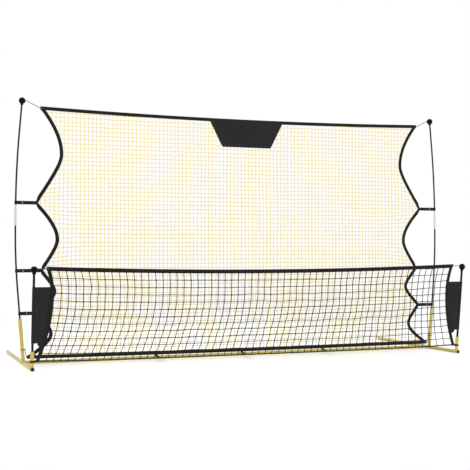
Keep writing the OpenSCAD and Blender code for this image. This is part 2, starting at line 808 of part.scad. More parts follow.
// Ties sewn to the front of the rear net's webbing, laid over the crossbar and drawn to the hem
tie_sag = 0.05;
tie_steps = 10;
module net_tie(x) {
    half = tie_t / 2;
    u = x / front_bottom_x;
    front = webbing_t / 2 + seat_gap + half;
    knee = [-front,
        crossbar_z + half + sqrt(pow(tube_r + seat_gap, 2) - pow(front - half, 2))];
    tab_top = rear_bottom(x) + webbing_w / 2 - tie_t;
    down = front_down(u);
    hem = hem_point(u, hem_w / 2);
    skew = abs(hem_point(u + tie_w / 2 / front_bottom_x, hem_w / 2)[1] - hem[1]);
    behind = webbing_t / 2 + seat_gap + half + skew;
    end = [hem[1] - crossbar_y - down[2] * behind, hem[2] + down[1] * behind];
    sag = tie_sag * (knee[0] - end[0]);
    path = concat([[-front, tab_top]], [for (k = [0:tie_steps])
        let (s = k / tie_steps) knee + (end - knee) * s - [0, 4 * sag * s * (1 - s)]]);
    translate([x - tie_w / 2, crossbar_y, 0]) rotate([90, 0, 90])
        linear_extrude(height = tie_w)
            polygon(concat(path_side(path, half), reverse(path_side(path, -half))));
}

module net_ties() {
    color(webbing_black) for (x = [-tie_x, 0, tie_x]) net_tie(x);
}

// Sheet between an upper and a lower row of points, given a thickness along each normal
module ribbon(upper, lower, t) {
    n = len(upper);
    function normal(i) = unit(cross(
        upper[min(i + 1, n - 1)] - upper[max(i - 1, 0)], lower[i] - upper[i]));
    rows = [
        [for (i = [0:n - 1]) upper[i] + normal(i) * t / 2],
        [for (i = [0:n - 1]) lower[i] + normal(i) * t / 2],
        [for (i = [0:n - 1]) lower[i] - normal(i) * t / 2],
        [for (i = [0:n - 1]) upper[i] - normal(i) * t / 2]
    ];
    sides = [for (r = [0:3]) for (i = [0:n - 2])
        let (a = r * n + i, b = ((r + 1) % 4) * n + i)
        each [[a, b, b + 1], [a, b + 1, a + 1]]];
    ends = [[0, 2 * n, n], [0, 3 * n, 2 * n],
        [n - 1, 2 * n - 1, 3 * n - 1], [n - 1, 3 * n - 1, 4 * n - 1]];
    polyhedron(points = [for (r = rows) each r], faces = concat(sides, ends), convexity = 6);
}

// Net of crossed cords over the drawn surface, as one sheet with a gap in each cell
module front_net() {
    nu = front_columns;
    nv = front_rows;
    function us(i) = 2 * i / nu - 1;
    function vs(j) = j / nv;
    function face_normal(u, v) = abs(u) > 0.999
        ? [0, cos(front_lean), sin(front_lean)]
        : unit(cross(
            front_point(u + 0.01, v) - front_point(u - 0.01, v),
            front_point(u, min(v + 0.01, 1)) - front_point(u, max(v - 0.01, 0))));
    function skin(u, v, s) = front_point(u, v) + face_normal(u, v) * s * front_cord / 2;
    half_u = front_cord / 2 / front_waist_x;
    half_v = front_cord / 2 / (front_top_z - front_corner_z);
    nodes = [for (s = [1, -1]) for (j = [0:nv]) for (i = [0:nu]) skin(us(i), vs(j), s)];
    holes = [for (s = [1, -1]) for (j = [0:nv - 1]) for (i = [0:nu - 1])
        each [
            skin(us(i) + half_u, vs(j) + half_v, s), skin(us(i + 1) - half_u, vs(j) + half_v, s),
            skin(us(i + 1) - half_u, vs(j + 1) - half_v, s),
            skin(us(i) + half_u, vs(j + 1) - half_v, s)
        ]];
    per_side = (nu + 1) * (nv + 1);
    function node_at(side, i, j) = side * per_side + j * (nu + 1) + i;
    function hole_at(side, i, j, c) = 2 * per_side + 4 * (side * nu * nv + j * nu + i) + c;
    function corners(side, i, j) = [node_at(side, i, j), node_at(side, i + 1, j),
        node_at(side, i + 1, j + 1), node_at(side, i, j + 1)];
    function quad(a, b, c, d, flip) = flip ? [[a, c, b], [a, d, c]] : [[a, b, c], [a, c, d]];
    rings = [for (side = [0, 1]) for (j = [0:nv - 1]) for (i = [0:nu - 1]) for (c = [0:3])
        let (k = corners(side, i, j), e = (c + 1) % 4)
        each quad(k[c], k[e], hole_at(side, i, j, e), hole_at(side, i, j, c), side == 0)];
    walls = [for (j = [0:nv - 1]) for (i = [0:nu - 1]) for (c = [0:3])
        let (e = (c + 1) % 4)
        each quad(hole_at(0, i, j, c), hole_at(0, i, j, e), hole_at(1, i, j, e),
            hole_at(1, i, j, c), true)];
    rim_h = [for (i = [0:nu - 1]) each concat(
        quad(node_at(0, i, 0), node_at(0, i + 1, 0), node_at(1, i + 1, 0), node_at(1, i, 0), false),
        quad(node_at(0, i, nv), node_at(0, i + 1, nv), node_at(1, i + 1, nv), node_at(1, i, nv),
            true))];
    rim_v = [for (j = [0:nv - 1]) each concat(
        quad(node_at(0, 0, j), node_at(0, 0, j + 1), node_at(1, 0, j + 1), node_at(1, 0, j), true),
        quad(node_at(0, nu, j), node_at(0, nu, j + 1), node_at(1, nu, j + 1), node_at(1, nu, j),
            false))];
    color(black) polyhedron(points = concat(nodes, holes),
        faces = concat(rings, walls, rim_h, rim_v), convexity = 10);
}

// Webbing along the front net's top edge, in the leaning plane
module front_top_webbing() {
    end = front_top_x + webbing_w / 2;
    steps = 16;
    half = webbing_w / 2 / cos(front_lean);
    xs = [for (k = [0:steps]) end * (2 * k / steps - 1)];
    color(webbing_black) leaning(webbing_t) polygon(concat(
        [for (x = xs) [x, run(front_top(x)) + half]],
        [for (x = reverse(xs)) [x, run(front_top(x)) - half]]
    ));
}

// Webbing down one side of the front net; its inner edge turns only at the net's own rows
module front_side_webbing() {
    inner = [for (j = [0:front_rows]) front_z(1, j / front_rows)];
    outer = [for (k = [0:side_steps]) front_z(1, k / side_steps)];
    color(webbing_black) leaning(webbing_t) polygon(concat(
        [for (z = outer) [front_edge(z) + webbing_w / 2, run(z)]],
        [for (z = reverse(inner)) [net_edge(z) + seam_gap, run(z)]]
    ));
}

// Narrow webbing along the front net's drawn bottom edge
module front_hem() {
    us = [for (k = [0:hem_steps]) 2 * k / hem_steps - 1];
    upper = [for (u = us) hem_point(u, 0)];
    lower = [for (u = us) hem_point(u, hem_w)];
    color(webbing_black) ribbon(upper, lower, webbing_t);
}

// Loop round a front socket, with a tail to the end of the hem
module front_loop() {
    hole_r = tube_r + seat_gap;
    outer_r = hole_r + tie_t;
    last = hem_point(1, hem_w) - hem_point(1 - 2 / hem_steps, hem_w);
    turn = webbing_t / 2 * abs(last[1]) / norm(last);
    tail = foot_x - hem_point(1, hem_w)[0] - turn - seat_gap;
    middle = run(hem_point(1, hem_w / 2)[2]);
    color(webbing_black) at_front_socket() {
        translate([0, 0, middle - loop_w / 2]) tube(2 * outer_r, 2 * hole_r, loop_w);
        translate([-tail, -webbing_t / 2, middle - hem_w / 2])
            cube([tail - hole_r - tie_t / 2, webbing_t, hem_w]);
    }
}

module front_loops() {
    for (m = [0, 1]) mirror([m, 0, 0]) front_loop();
}

// Fabric wing from a sleeve round the pole to the webbing, with a curved lower edge
module wing() {
    hole_r = front_pole_d / 2 + seat_gap;
    low = run(wing_bottom_z);
    high = run(wing_top_z);
    tail_low = run(wing_tail_z);
    function edge(z) = front_edge(z) + webbing_w / 2 + seat_gap;
    zs = [for (k = [0:side_steps]) wing_top_z + (wing_tail_z - wing_top_z) * k / side_steps];
    turn_x = (edge(wing_tail_z) + foot_x - hole_r) / 2;
    curve = [for (a = [15:15:90]) [
        edge(wing_tail_z) + (turn_x - edge(wing_tail_z)) * sin(a),
        low + (tail_low - low) * cos(a)
    ]];
    color(fabric_black) {
        leaning(wing_t) polygon(concat(
            [for (z = zs) [edge(z), run(z)]],
            curve,
            [[foot_x - hole_r - wing_t / 2, low], [foot_x - hole_r - wing_t / 2, high]]
        ));
        at_front_socket() translate([0, 0, low])
            tube(2 * (hole_r + wing_t), 2 * hole_r, high - low);
    }
}

left() foot_tube();  // left_foot_tube
foot_tube();  // right_foot_tube
left() rear_socket();  // left_rear_socket
rear_socket();  // right_rear_socket
left() front_socket();  // left_front_socket
front_socket();  // right_front_socket
left() crossbar_stub();  // left_crossbar_stub
crossbar_stub();  // right_crossbar_stub
left() outer_crossbar();  // left_crossbar
middle_crossbar();
outer_crossbar();  // right_crossbar
end_plugs();
snap_button(0);  // snap_button_1
snap_button(1);  // snap_button_2
snap_button(2);  // snap_button_3
snap_button(3);  // snap_button_4
spring_clip(0);  // spring_clip_1
spring_clip(1);  // spring_clip_2
spring_clip(2);  // spring_clip_3
spring_clip(3);  // spring_clip_4
rear_bushes();
front_bushes();
left() lower_pole();  // left_lower_pole
lower_pole();  // right_lower_pole
left() ferrule();  // left_ferrule
ferrule();  // right_ferrule
left() upper_pole();  // left_upper_pole
upper_pole();  // right_upper_pole
left() rear_ball_cap();  // left_rear_ball_cap
rear_ball_cap();  // right_rear_ball_cap
left() front_pole();  // left_front_pole
front_pole();  // right_front_pole
left() front_ball_cap();  // left_front_ball_cap
front_ball_cap();  // right_front_ball_cap
rear_net();
rear_top_webbing();
rear_bottom_webbing();
left() rear_side_webbing();  // left_rear_webbing
rear_side_webbing();  // right_rear_webbing
target_panel();
left() side_straps();  // left_straps
side_straps();  // right_straps
left() buckle(0);  // left_upper_buckle
left() buckle(1);  // left_middle_buckle
left() buckle(2);  // left_lower_buckle
buckle(0);  // right_upper_buckle
buckle(1);  // right_middle_buckle
buckle(2);  // right_lower_buckle
rear_top_cords();
rear_lower_cords();
net_ties();
front_net();
front_top_webbing();
left() front_side_webbing();  // left_front_webbing
front_side_webbing();  // right_front_webbing
front_hem();
front_loops();
left() wing();  // left_wing
wing();  // right_wing
front_top_cords();
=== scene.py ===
# The looks of a pitch back rebounder with two nets: its nets, webbing, cloth, cords and
# finishes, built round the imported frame. Lengths are in metres.
import json
import math
import random

import bmesh
import bpy
import numpy as np
from mathutils import Matrix, Vector


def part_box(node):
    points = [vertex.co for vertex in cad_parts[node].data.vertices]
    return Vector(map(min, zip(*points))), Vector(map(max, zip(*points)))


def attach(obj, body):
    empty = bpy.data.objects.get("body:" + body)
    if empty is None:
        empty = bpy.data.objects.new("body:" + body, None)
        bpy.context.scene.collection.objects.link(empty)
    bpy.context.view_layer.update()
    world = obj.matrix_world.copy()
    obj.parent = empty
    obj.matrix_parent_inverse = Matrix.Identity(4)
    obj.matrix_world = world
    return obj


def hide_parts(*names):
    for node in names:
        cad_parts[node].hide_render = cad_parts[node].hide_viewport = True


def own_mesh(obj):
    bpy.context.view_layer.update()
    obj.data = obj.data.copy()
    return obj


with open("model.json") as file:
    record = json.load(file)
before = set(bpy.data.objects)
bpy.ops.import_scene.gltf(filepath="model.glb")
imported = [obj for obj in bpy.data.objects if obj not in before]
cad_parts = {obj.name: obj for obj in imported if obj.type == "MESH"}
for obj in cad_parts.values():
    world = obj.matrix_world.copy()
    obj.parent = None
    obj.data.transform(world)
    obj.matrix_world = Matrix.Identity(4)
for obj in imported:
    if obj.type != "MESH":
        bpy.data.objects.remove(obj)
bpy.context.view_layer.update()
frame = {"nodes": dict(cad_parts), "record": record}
nodes = frame["nodes"]
scene = bpy.context.scene
print("frame loaded,", len(nodes), "nodes")


def rgb(red, green, blue):
    # display values from 0 to 255, as the linear values that shaders take
    shares = [c / 255 for c in (red, green, blue)]
    return tuple(s / 12.92 if s < 0.04 else ((s + 0.055) / 1.055) ** 2.4 for s in shares) + (1,)


def put(tree, kind, inputs=None, **settings):
    # adds a node; an input takes a value or another node's socket
    node = tree.nodes.new(kind)
    for key, value in settings.items():
        setattr(node, key, value)
    for key, value in (inputs or {}).items():
        if isinstance(value, bpy.types.NodeSocket):
            tree.links.new(value, node.inputs[key])
        else:
            node.inputs[key].default_value = value
    return node


# these four go into the tree of their first socket

def calc(operation, *values):
    return put(values[0].id_data, "ShaderNodeMath", dict(enumerate(values)),
               operation=operation).outputs[0]


def times(one, other):
    return calc("MULTIPLY", one, other)


def ramp(value, low, high, start=0.0, end=1.0):
    inputs = dict(enumerate((value, low, high, start, end)))
    return put(value.id_data, "ShaderNodeMapRange", inputs).outputs[0]


def noise(place, scale, **inputs):
    inputs.update(Vector=place, Scale=scale)
    return put(place.id_data, "ShaderNodeTexNoise", inputs).outputs[0]


def freshTree(owner):
    owner.use_nodes = True
    owner.node_tree.nodes.clear()
    return owner.node_tree


def addObject(name, data):
    item = bpy.data.objects.new(name, data)
    scene.collection.objects.link(item)
    return item


cameraSetup = dict(place=(-2.572, -6.975, 0.770), turn=(90.99, 0.065, -20.32), lens=75.06,
                   sensor=36, clip=100)


def makeCamera():
    s = cameraSetup
    data = bpy.data.cameras.new("camera")
    data.lens = s["lens"]
    data.sensor_width = s["sensor"]
    data.clip_end = s["clip"]
    camera = addObject("camera", data)
    camera.location = s["place"]
    camera.rotation_euler = [math.radians(angle) for angle in s["turn"]]
    scene.camera = camera


# a lamp has its power, place and size
lightSetup = dict(world=0.62, aim=(0, 0, 0.8), key=(250, (-3.5, -6.5, 5.2), 4.5),
                  fill=(90, (5.5, -5.0, 2.6), 4.0), rim=(60, (0.5, 5.5, 4.2), 4.0))


def areaLight(name):
    power, place, size = lightSetup[name]
    data = bpy.data.lights.new(name, "AREA")
    data.energy = power
    data.size = size
    lamp = addObject(name, data)
    lamp.location = place
    ray = Vector(lightSetup["aim"]) - Vector(place)
    lamp.rotation_euler = ray.to_track_quat("-Z", "Y").to_euler()


def straightRays(tree):
    # camera rays, and those seen in metal, which show the plain white room
    path = put(tree, "ShaderNodeLightPath").outputs
    mirrored = calc("MAXIMUM", path["Is Glossy Ray"], path["Is Transmission Ray"])
    return calc("MAXIMUM", path["Is Camera Ray"], mirrored)


floorSetup = dict(size=60, drop=0.0002, paper=0.86, lift=0.33, rough=0.55, fade=(2.2, 4.0))
white = (1, 1, 1, 1)


def makeRoom():
    scene.world = bpy.data.worlds.new("room")
    tree = freshTree(scene.world)
    soft, plain = (put(tree, "ShaderNodeBackground", {"Color": white, "Strength": s}).outputs[0]
                   for s in (lightSetup["world"], 1.0))
    mix = put(tree, "ShaderNodeMixShader", {0: straightRays(tree), 1: soft, 2: plain})
    put(tree, "ShaderNodeOutputWorld", {"Surface": mix.outputs[0]})

    s = floorSetup
    bpy.ops.mesh.primitive_plane_add(size=s["size"], location=(0, 0, -s["drop"]))
    floor = bpy.context.object
    floor.name = "floor"
    paper = bpy.data.materials.new("floorPaper")
    tree = freshTree(paper)
    body = put(tree, "ShaderNodeBsdfPrincipled",
               {"Base Color": (s["paper"],) * 3 + (1,), "Roughness": s["rough"]})
    straight = straightRays(tree)
    glow = put(tree, "ShaderNodeEmission", {"Strength": times(straight, s["lift"])})
    both = put(tree, "ShaderNodeAddShader", {0: body.outputs[0], 1: glow.outputs[0]})
    # away from the object the floor runs into the white room without a horizon
    place = put(tree, "ShaderNodeTexCoord").outputs["Object"]
    away = put(tree, "ShaderNodeVectorMath", {0: place}, operation="LENGTH").outputs["Value"]
    far = times(ramp(away, *s["fade"]), straight)
    plain = put(tree, "ShaderNodeEmission", {"Strength": 1.0}).outputs[0]
    faded = put(tree, "ShaderNodeMixShader", {0: far, 1: both.outputs[0], 2: plain})
    put(tree, "ShaderNodeOutputMaterial", {"Surface": faded.outputs[0]})
    floor.data.materials.append(paper)
    for name in ("key", "fill", "rim"):
        areaLight(name)
    scene.view_settings.view_transform = "Standard"


makeCamera()
makeRoom()
print("camera and room")


def newTree(name, kind, **inputs):
    # a node group; an input has its default number, or the name of its kind of socket
    tree = bpy.data.node_groups.new(name, kind)
    for label, value in inputs.items():
        number = not isinstance(value, str)
        socketKind = ("Int" if isinstance(value, int) else "Float") if number else value
        socket = tree.interface.new_socket(label, in_out="INPUT",
                                           socket_type="NodeSocket" + socketKind)
        if number:
            socket.default_value = value
    return tree, tree.nodes.new("NodeGroupInput").outputs


def closeTree(tree, kind="Float", **results):
    for label in results:
        tree.interface.new_socket(label, in_out="OUTPUT", socket_type="NodeSocket" + kind)
    put(tree, "NodeGroupOutput", results)
    return tree


def wave(value):
    return calc("ABSOLUTE", calc("SINE", value))


def buildGrain():
    group, give = newTree("grain", "ShaderNodeTree", Vector="Vector", Scale=60.0, Low=0.0,
                          High=1.0)
    value = noise(give["Vector"], give["Scale"], Detail=4.0, Roughness=0.6)
    return closeTree(group, Value=ramp(value, 0.25, 0.75, give["Low"], give["High"]))


def buildScuff():
    # fine scratches that run at random, thinned by a coarse patch mask
    group, give = newTree("scuff", "ShaderNodeTree", Vector="Vector", Scale=30.0, Amount=0.5)
    stretch = put(group, "ShaderNodeMapping", {"Vector": give["Vector"], "Scale": (1, 6, 1.6),
                                               "Rotation": (0.4, 0.9, 0.3)}).outputs[0]
    lines = noise(stretch, give["Scale"], Detail=6.0, Roughness=0.7, Distortion=0.6)
    patches = noise(give["Vector"], 9.0)
    mask = times(ramp(lines, 0.6, 0.68), ramp(patches, 0.48, 0.66))
    return closeTree(group, Mask=times(mask, give["Amount"]))


def buildDust():
    # settles on what is near the ground
    group, give = newTree("dust", "ShaderNodeTree", Vector="Vector", Top=0.1, Amount=0.3)
    height = put(group, "ShaderNodeSeparateXYZ", {0: give["Vector"]}).outputs["Z"]
    low = ramp(height, 0.0, give["Top"], 1.0, 0.0)
    patchy = ramp(noise(give["Vector"], 38.0, Detail=5.0), 0.35, 0.7)
    return closeTree(group, Mask=times(times(low, patchy), give["Amount"]))


def buildWeave():
    # plain weave: threads cross over and under by turns
    group, give = newTree("weave", "ShaderNodeTree", Vector="Vector", Along=0.002,
                          Across=0.002)
    place = put(group, "ShaderNodeSeparateXYZ", {0: give["Vector"]}).outputs
    counts = [calc("DIVIDE", place[k], give[label]) for k, label in enumerate(("Along", "Across"))]
    ridges = [wave(times(c, math.pi)) for c in counts]
    steps = [calc("FLOOR", c) for c in counts]
    over = calc("FLOORED_MODULO", calc("ADD", *steps), 2.0)
    height = put(group, "ShaderNodeMix", {0: over, 2: ridges[0], 3: ridges[1]}).outputs[0]
    fuzz = noise(give["Vector"], 240.0, Detail=3.0)
    # painted shade: the tone is darker in the hollows between the raised threads and lighter on
    # their crests, mixed with random fuzz
    hollowShadeAndGrain = calc("ADD", times(height, 0.35), times(fuzz, 0.8))
    return closeTree(group, Height=height, Tone=hollowShadeAndGrain)


def buildTwist():
    # strands laid round a cord; the wind attribute holds the turn's cosine and sine, and the
    # distance along the cord. With Braid 1 a second set of strands crosses the first.
    group, give = newTree("twist", "ShaderNodeTree", Wind="Vector", Strands=3.0, Lay=0.01,
                          Braid=0.0)
    wind = put(group, "ShaderNodeSeparateXYZ", {0: give["Wind"]}).outputs
    turns = times(calc("ARCTAN2", wind[1], wind[0]), times(give["Strands"], 0.5))
    run = times(calc("DIVIDE", wind[2], give["Lay"]), math.pi)
    one, two = (wave(calc(way, turns, run)) for way in ("ADD", "SUBTRACT"))
    both = calc("MAXIMUM", one, times(two, give["Braid"]))
    return closeTree(group, Height=both, Cross=calc("GREATER_THAN", one, two))


grainGroup = buildGrain()
scuffGroup = buildScuff()
dustGroup = buildDust()
weaveGroup = buildWeave()
twistGroup = buildTwist()


class Finish:
    # a Principled material under construction
    def __init__(self, name, **plain):
        self.material = bpy.data.materials.new(name)
        self.tree = freshTree(self.material)
        self.body = put(self.tree, "ShaderNodeBsdfPrincipled",
                        {key.replace("_", " "): value for key, value in plain.items()})
        put(self.tree, "ShaderNodeOutputMaterial", {"Surface": self.body.outputs[0]})
        self.place = put(self.tree, "ShaderNodeTexCoord").outputs["Object"]

    def group(self, group, **inputs):
        return put(self.tree, "ShaderNodeGroup", inputs, node_tree=group).outputs

    def grain(self, scale, low=0.0, high=1.0, place=None):
        return self.group(grainGroup, Vector=self.place if place is None else place,
                          Scale=scale, Low=low, High=high)[0]

    def strands(self, **inputs):
        wind = put(self.tree, "ShaderNodeAttribute", attribute_name="wind").outputs["Vector"]
        return self.group(twistGroup, Wind=wind, **inputs)

    def stretched(self, scale):
        return put(self.tree, "ShaderNodeMapping",
                   {"Vector": self.place, "Scale": scale}).outputs[0]

    def blend(self, share, low, high):
        return put(self.tree, "ShaderNodeMix", {0: share, 6: low, 7: high},
                   data_type="RGBA").outputs[2]

    def scuffed(self, base, scale, amount, worn):
        mask = self.group(scuffGroup, Vector=self.place, Scale=scale, Amount=amount)[0]
        return self.blend(mask, base, worn)

    def dusty(self, base, top, amount, dirt):
        mask = self.group(dustGroup, Vector=self.place, Top=top, Amount=amount)[0]
        return self.blend(mask, base, dirt)

    def complete(self, colour, rough, relief=None):
        # rough has the grain's scale and limits, and relief a height, strength and depth
        results = {"Base Color": colour, "Roughness": self.grain(*rough)}
        if relief:
            labels = ("Height", "Strength", "Distance")
            results["Normal"] = put(self.tree, "ShaderNodeBump",
                                    dict(zip(labels, relief))).outputs[0]
        for label, socket in results.items():
            self.tree.links.new(socket, self.body.inputs[label])
        return self.material


def shade(colour, share):
    return tuple(c * share for c in colour[:3]) + (1,)


def powderCoat(name, light, deep, worn, dirt, wear, dust, rough):
    finish = Finish(name, Coat_Weight=0.25, Coat_Roughness=0.25, IOR=1.5)
    base = finish.blend(finish.grain(7.0), deep, light)
    base = finish.scuffed(base, 34.0, wear, worn)
    base = finish.dusty(base, 0.03, dust, dirt)
    return finish.complete(base, (26.0, *rough), (finish.grain(900.0), 0.12, 0.0004))


def plastic(name, colour, rough=(0.4, 0.55), fine=700.0, shine=0.2):
    finish = Finish(name, IOR=1.49, Specular_IOR_Level=shine)
    base = finish.blend(finish.grain(22.0), shade(colour, 0.72), colour)
    base = finish.dusty(base, 0.06, 0.3, rgb(120, 112, 98))
    return finish.complete(base, (40.0, *rough), (finish.grain(fine), 0.2, 0.0003))


def fibreRod(name, light, deep, rough):
    # satin rod with fine fibres along it
    finish = Finish(name, Specular_IOR_Level=0.18, Coat_Weight=0.04, Coat_Roughness=0.3)
    fibres = finish.stretched((1, 1, 0.02))
    streak = finish.grain(900.0, place=fibres)
    return finish.complete(finish.blend(streak, deep, light), (300.0, *rough, fibres),
                           (streak, 0.1, 0.0002))


def metal(name, colour, rough, along, wear):
    finish = Finish(name, Metallic=0.9)
    lines = finish.stretched(along)
    brush = finish.grain(500.0, place=lines)
    base = finish.blend(brush, shade(colour, 0.82), colour)
    base = finish.scuffed(base, 60.0, wear, rgb(96, 97, 100))
    return finish.complete(base, (160.0, rough - 0.08, rough + 0.08, lines),
                           (brush, 0.12, 0.0002))


def twine(name, light, deep, lay):
    # twisted polyethylene, with painted shade: darker in the grooves between the strands and
    # lighter on their crests, varied by random grain
    finish = Finish(name, IOR=1.45, Specular_IOR_Level=0.15, Sheen_Weight=0.04)
    height = finish.strands(Strands=3.0, Lay=lay)[0]
    hollowShadeAndGrain = times(height, finish.grain(16.0, 0.3))
    return finish.complete(finish.blend(hollowShadeAndGrain, deep, light), (60.0, 0.5, 0.7),
                           (height, 0.6, 0.0006))


def braid(name, light, deep, lay):
    # braided sheath, dark with pale flecks
    finish = Finish(name, Sheen_Weight=0.2)
    height, cross = finish.strands(Strands=8.0, Lay=lay, Braid=1.0)[:2]
    share = times(cross, finish.grain(420.0, 0.2))
    return finish.complete(finish.blend(share, deep, light), (90.0, 0.6, 0.8),
                           (height, 0.7, 0.0006))


def woven(name, light, deep, along, across, depth, sheen=0.08):
    finish = Finish(name, Sheen_Weight=sheen, Sheen_Roughness=0.5, IOR=1.4,
                    Specular_IOR_Level=0.15)
    flat = put(finish.tree, "ShaderNodeUVMap", uv_map="UVMap").outputs[0]
    height, threads = finish.group(weaveGroup, Vector=flat, Along=along, Across=across)[:2]
    # painted shade: the weave's darker hollows between threads, with random grain, set the cloth's
    # tone
    hollowShadeAndGrain = times(threads, finish.grain(5.0, 0.35))
    base = finish.dusty(finish.blend(hollowShadeAndGrain, deep, light), 0.12, 0.2, rgb(112, 106, 94))
    return finish.complete(base, (50.0, 0.68, 0.86), (height, 0.8, depth))


def spun(name, light, deep):
    finish = Finish(name, Sheen_Weight=0.2)
    base = finish.blend(finish.grain(300.0), deep, light)
    return finish.complete(base, (80.0, 0.5, 0.7))


# each finish has its kind and its values
looks = dict(
    powderCoat=(powderCoat, dict(light=rgb(216, 195, 88), deep=rgb(202, 179, 74),
                                 worn=rgb(158, 148, 108), dirt=rgb(156, 148, 124),
                                 wear=0.5, dust=0.35, rough=(0.3, 0.46))),
    blackPlastic=(plastic, dict(colour=rgb(26, 26, 27), rough=(0.42, 0.6))),
    ballPlastic=(plastic, dict(colour=rgb(11, 11, 12), fine=500.0, shine=0.08)),
    paleNylon=(plastic, dict(colour=rgb(204, 202, 188))),
    fibreglass=(fibreRod, dict(light=rgb(22, 22, 24), deep=rgb(11, 11, 12), rough=(0.32, 0.5))),
    ferruleMetal=(metal, dict(colour=rgb(205, 206, 208), rough=0.34, along=(1, 1, 0.05),
                              wear=0.4)),
    zincMetal=(metal, dict(colour=rgb(190, 192, 196), rough=0.3, along=(1, 1, 1), wear=0.2)),
    eyeletMetal=(metal, dict(colour=rgb(62, 62, 64), rough=0.4, along=(1, 1, 1), wear=0.15)),
    buckleMetal=(metal, dict(colour=rgb(214, 215, 218), rough=0.28, along=(0.1, 1, 1),
                             wear=0.3)),
    rearTwine=(twine, dict(light=rgb(251, 236, 142), deep=rgb(243, 219, 96), lay=0.006)),
    frontTwine=(twine, dict(light=rgb(34, 32, 28), deep=rgb(16, 15, 12), lay=0.009)),
    elasticCord=(braid, dict(light=rgb(126, 126, 128), deep=rgb(44, 44, 46), lay=0.006)),
    webbingCloth=(woven, dict(light=rgb(40, 38, 36), deep=rgb(18, 17, 16), along=0.0016,
                              across=0.0022, depth=0.0006)),
    strapCloth=(woven, dict(light=rgb(46, 45, 46), deep=rgb(22, 22, 23), along=0.0022,
                            across=0.0014, depth=0.0006)),
    wingCloth=(woven, dict(light=rgb(44, 44, 44), deep=rgb(32, 32, 32), along=0.0009,
                           across=0.0009, depth=0.0002, sheen=0.04)),
    sewingThread=(spun, dict(light=rgb(84, 84, 85), deep=rgb(46, 46, 47))))
slotLooks = {"tube": "powderCoat", "plug": "blackPlastic", "bush": "paleNylon",
             "button": "zincMetal", "spring": "zincMetal", "rear_pole": "fibreglass",
             "front_pole": "fibreglass", "ferrule": "ferruleMetal", "ball_cap": "ballPlastic",
             "buckle": "buckleMetal", "rear_net_cord": "rearTwine",
             "front_net_cord": "frontTwine", "elastic": "elasticCord",
             "rear_webbing": "webbingCloth", "front_webbing": "webbingCloth",
             "strap": "strapCloth", "tie": "strapCloth", "panel_fabric": "wingCloth",
             "wing_fabric": "wingCloth"}
finishes = {name: build(name, **look) for name, (build, look) in looks.items()}
slotFinishes = {slot: finishes[name] for slot, name in slotLooks.items()}
print("materials,", len(finishes))

# frame parts that keep their shape
for part in frame["record"]["subparts"]:
    nodes[part["node"]].data.materials.clear()
    nodes[part["node"]].data.materials.append(slotFinishes[part["material_slot"]])
print("frame parts finished")


def at(x, y, z):
    return np.array([x, y, z], float)


def nodePoints(*names):
    return np.array([v.co for n in names for v in nodes[n].data.vertices], float)


def rightPoints(name):
    points = nodePoints(name)
    return points[points[:, 0] > 0]


def mainAxis(name):
    # the direction in which a straight part runs, upwards
    points = nodePoints(name)
    along = np.linalg.svd(points - points.mean(0), full_matrices=False)[2][0]
    return along * np.sign(along[2])


def boxMiddle(name):
    low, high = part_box(name)
    return (np.array(low) + np.array(high)) / 2


def span(values, keys, digits=5):
    # lowest and highest value at each key, such as a band's edges at each height
    levels = np.unique(np.round(keys, digits))
    groups = [values[np.abs(keys - k) < 2 * 10 ** -digits] for k in levels]
    return levels, np.array([g.min() for g in groups]), np.array([g.max() for g in groups])


def circleAngles(count):
    return np.arange(count) * 2 * math.pi / count


def runLengths(points, closed=False):
    points = np.asarray(points, float)
    if closed:
        points = np.vstack([points, points[:1]])
    return np.concatenate([[0], np.cumsum(np.linalg.norm(np.diff(points, axis=0), axis=1))])


def smoothLine(points, fine):
    # Catmull-Rom curve through the points
    p = np.asarray(points, float)
    p = np.vstack([2 * p[0] - p[1], p, 2 * p[-1] - p[-2]])
    line = []
    for i in range(1, len(p) - 2):
        for s in np.arange(fine) / fine:
            a = 2 * p[i]
            b = p[i + 1] - p[i - 1]
            c = 2 * p[i - 1] - 5 * p[i] + 4 * p[i + 1] - p[i + 2]
            d = -p[i - 1] + 3 * p[i] - 3 * p[i + 1] + p[i + 2]
            line.append((a + b * s + c * s ** 2 + d * s ** 3) / 2)
    line.append(p[-2])
    return np.array(line)


def arcPath(middle, radius, start, end, first, second, count):
    angles = np.radians(np.linspace(start, end, count))
    return [middle + radius * (math.cos(a) * first + math.sin(a) * second) for a in angles]


def joined(name, meshes, merge=0.0):
    # one mesh of several, with their UV maps and attributes; merge closes loose triangles
    work = bmesh.new()
    for mesh in meshes:
        work.from_mesh(mesh)
    if merge:
        bmesh.ops.remove_doubles(work, verts=work.verts, dist=merge)
    mesh = bpy.data.meshes.new(name)
    work.to_mesh(mesh)
    work.free()
    return mesh


def courses(points, closed=False):
    # the direction of a line at each of its points
    last = len(points) - 1
    befores = [i - 1 if closed or i else 0 for i in range(last + 1)]
    afters = [(i + 1) % (last + 1) if closed else min(i + 1, last) for i in range(last + 1)]
    return [Vector(points[b] - points[a]).normalized() for a, b in zip(befores, afters)]


def roundRing(point, size, side, out, count, flat=1.0):
    return [Vector(point) + size * (math.cos(t) * side + flat * math.sin(t) * out)
            for t in circleAngles(count)]


def outward(mesh):
    work = bmesh.new()
    work.from_mesh(mesh)
    bmesh.ops.recalc_face_normals(work, faces=work.faces)
    work.to_mesh(mesh)
    work.free()
    return mesh


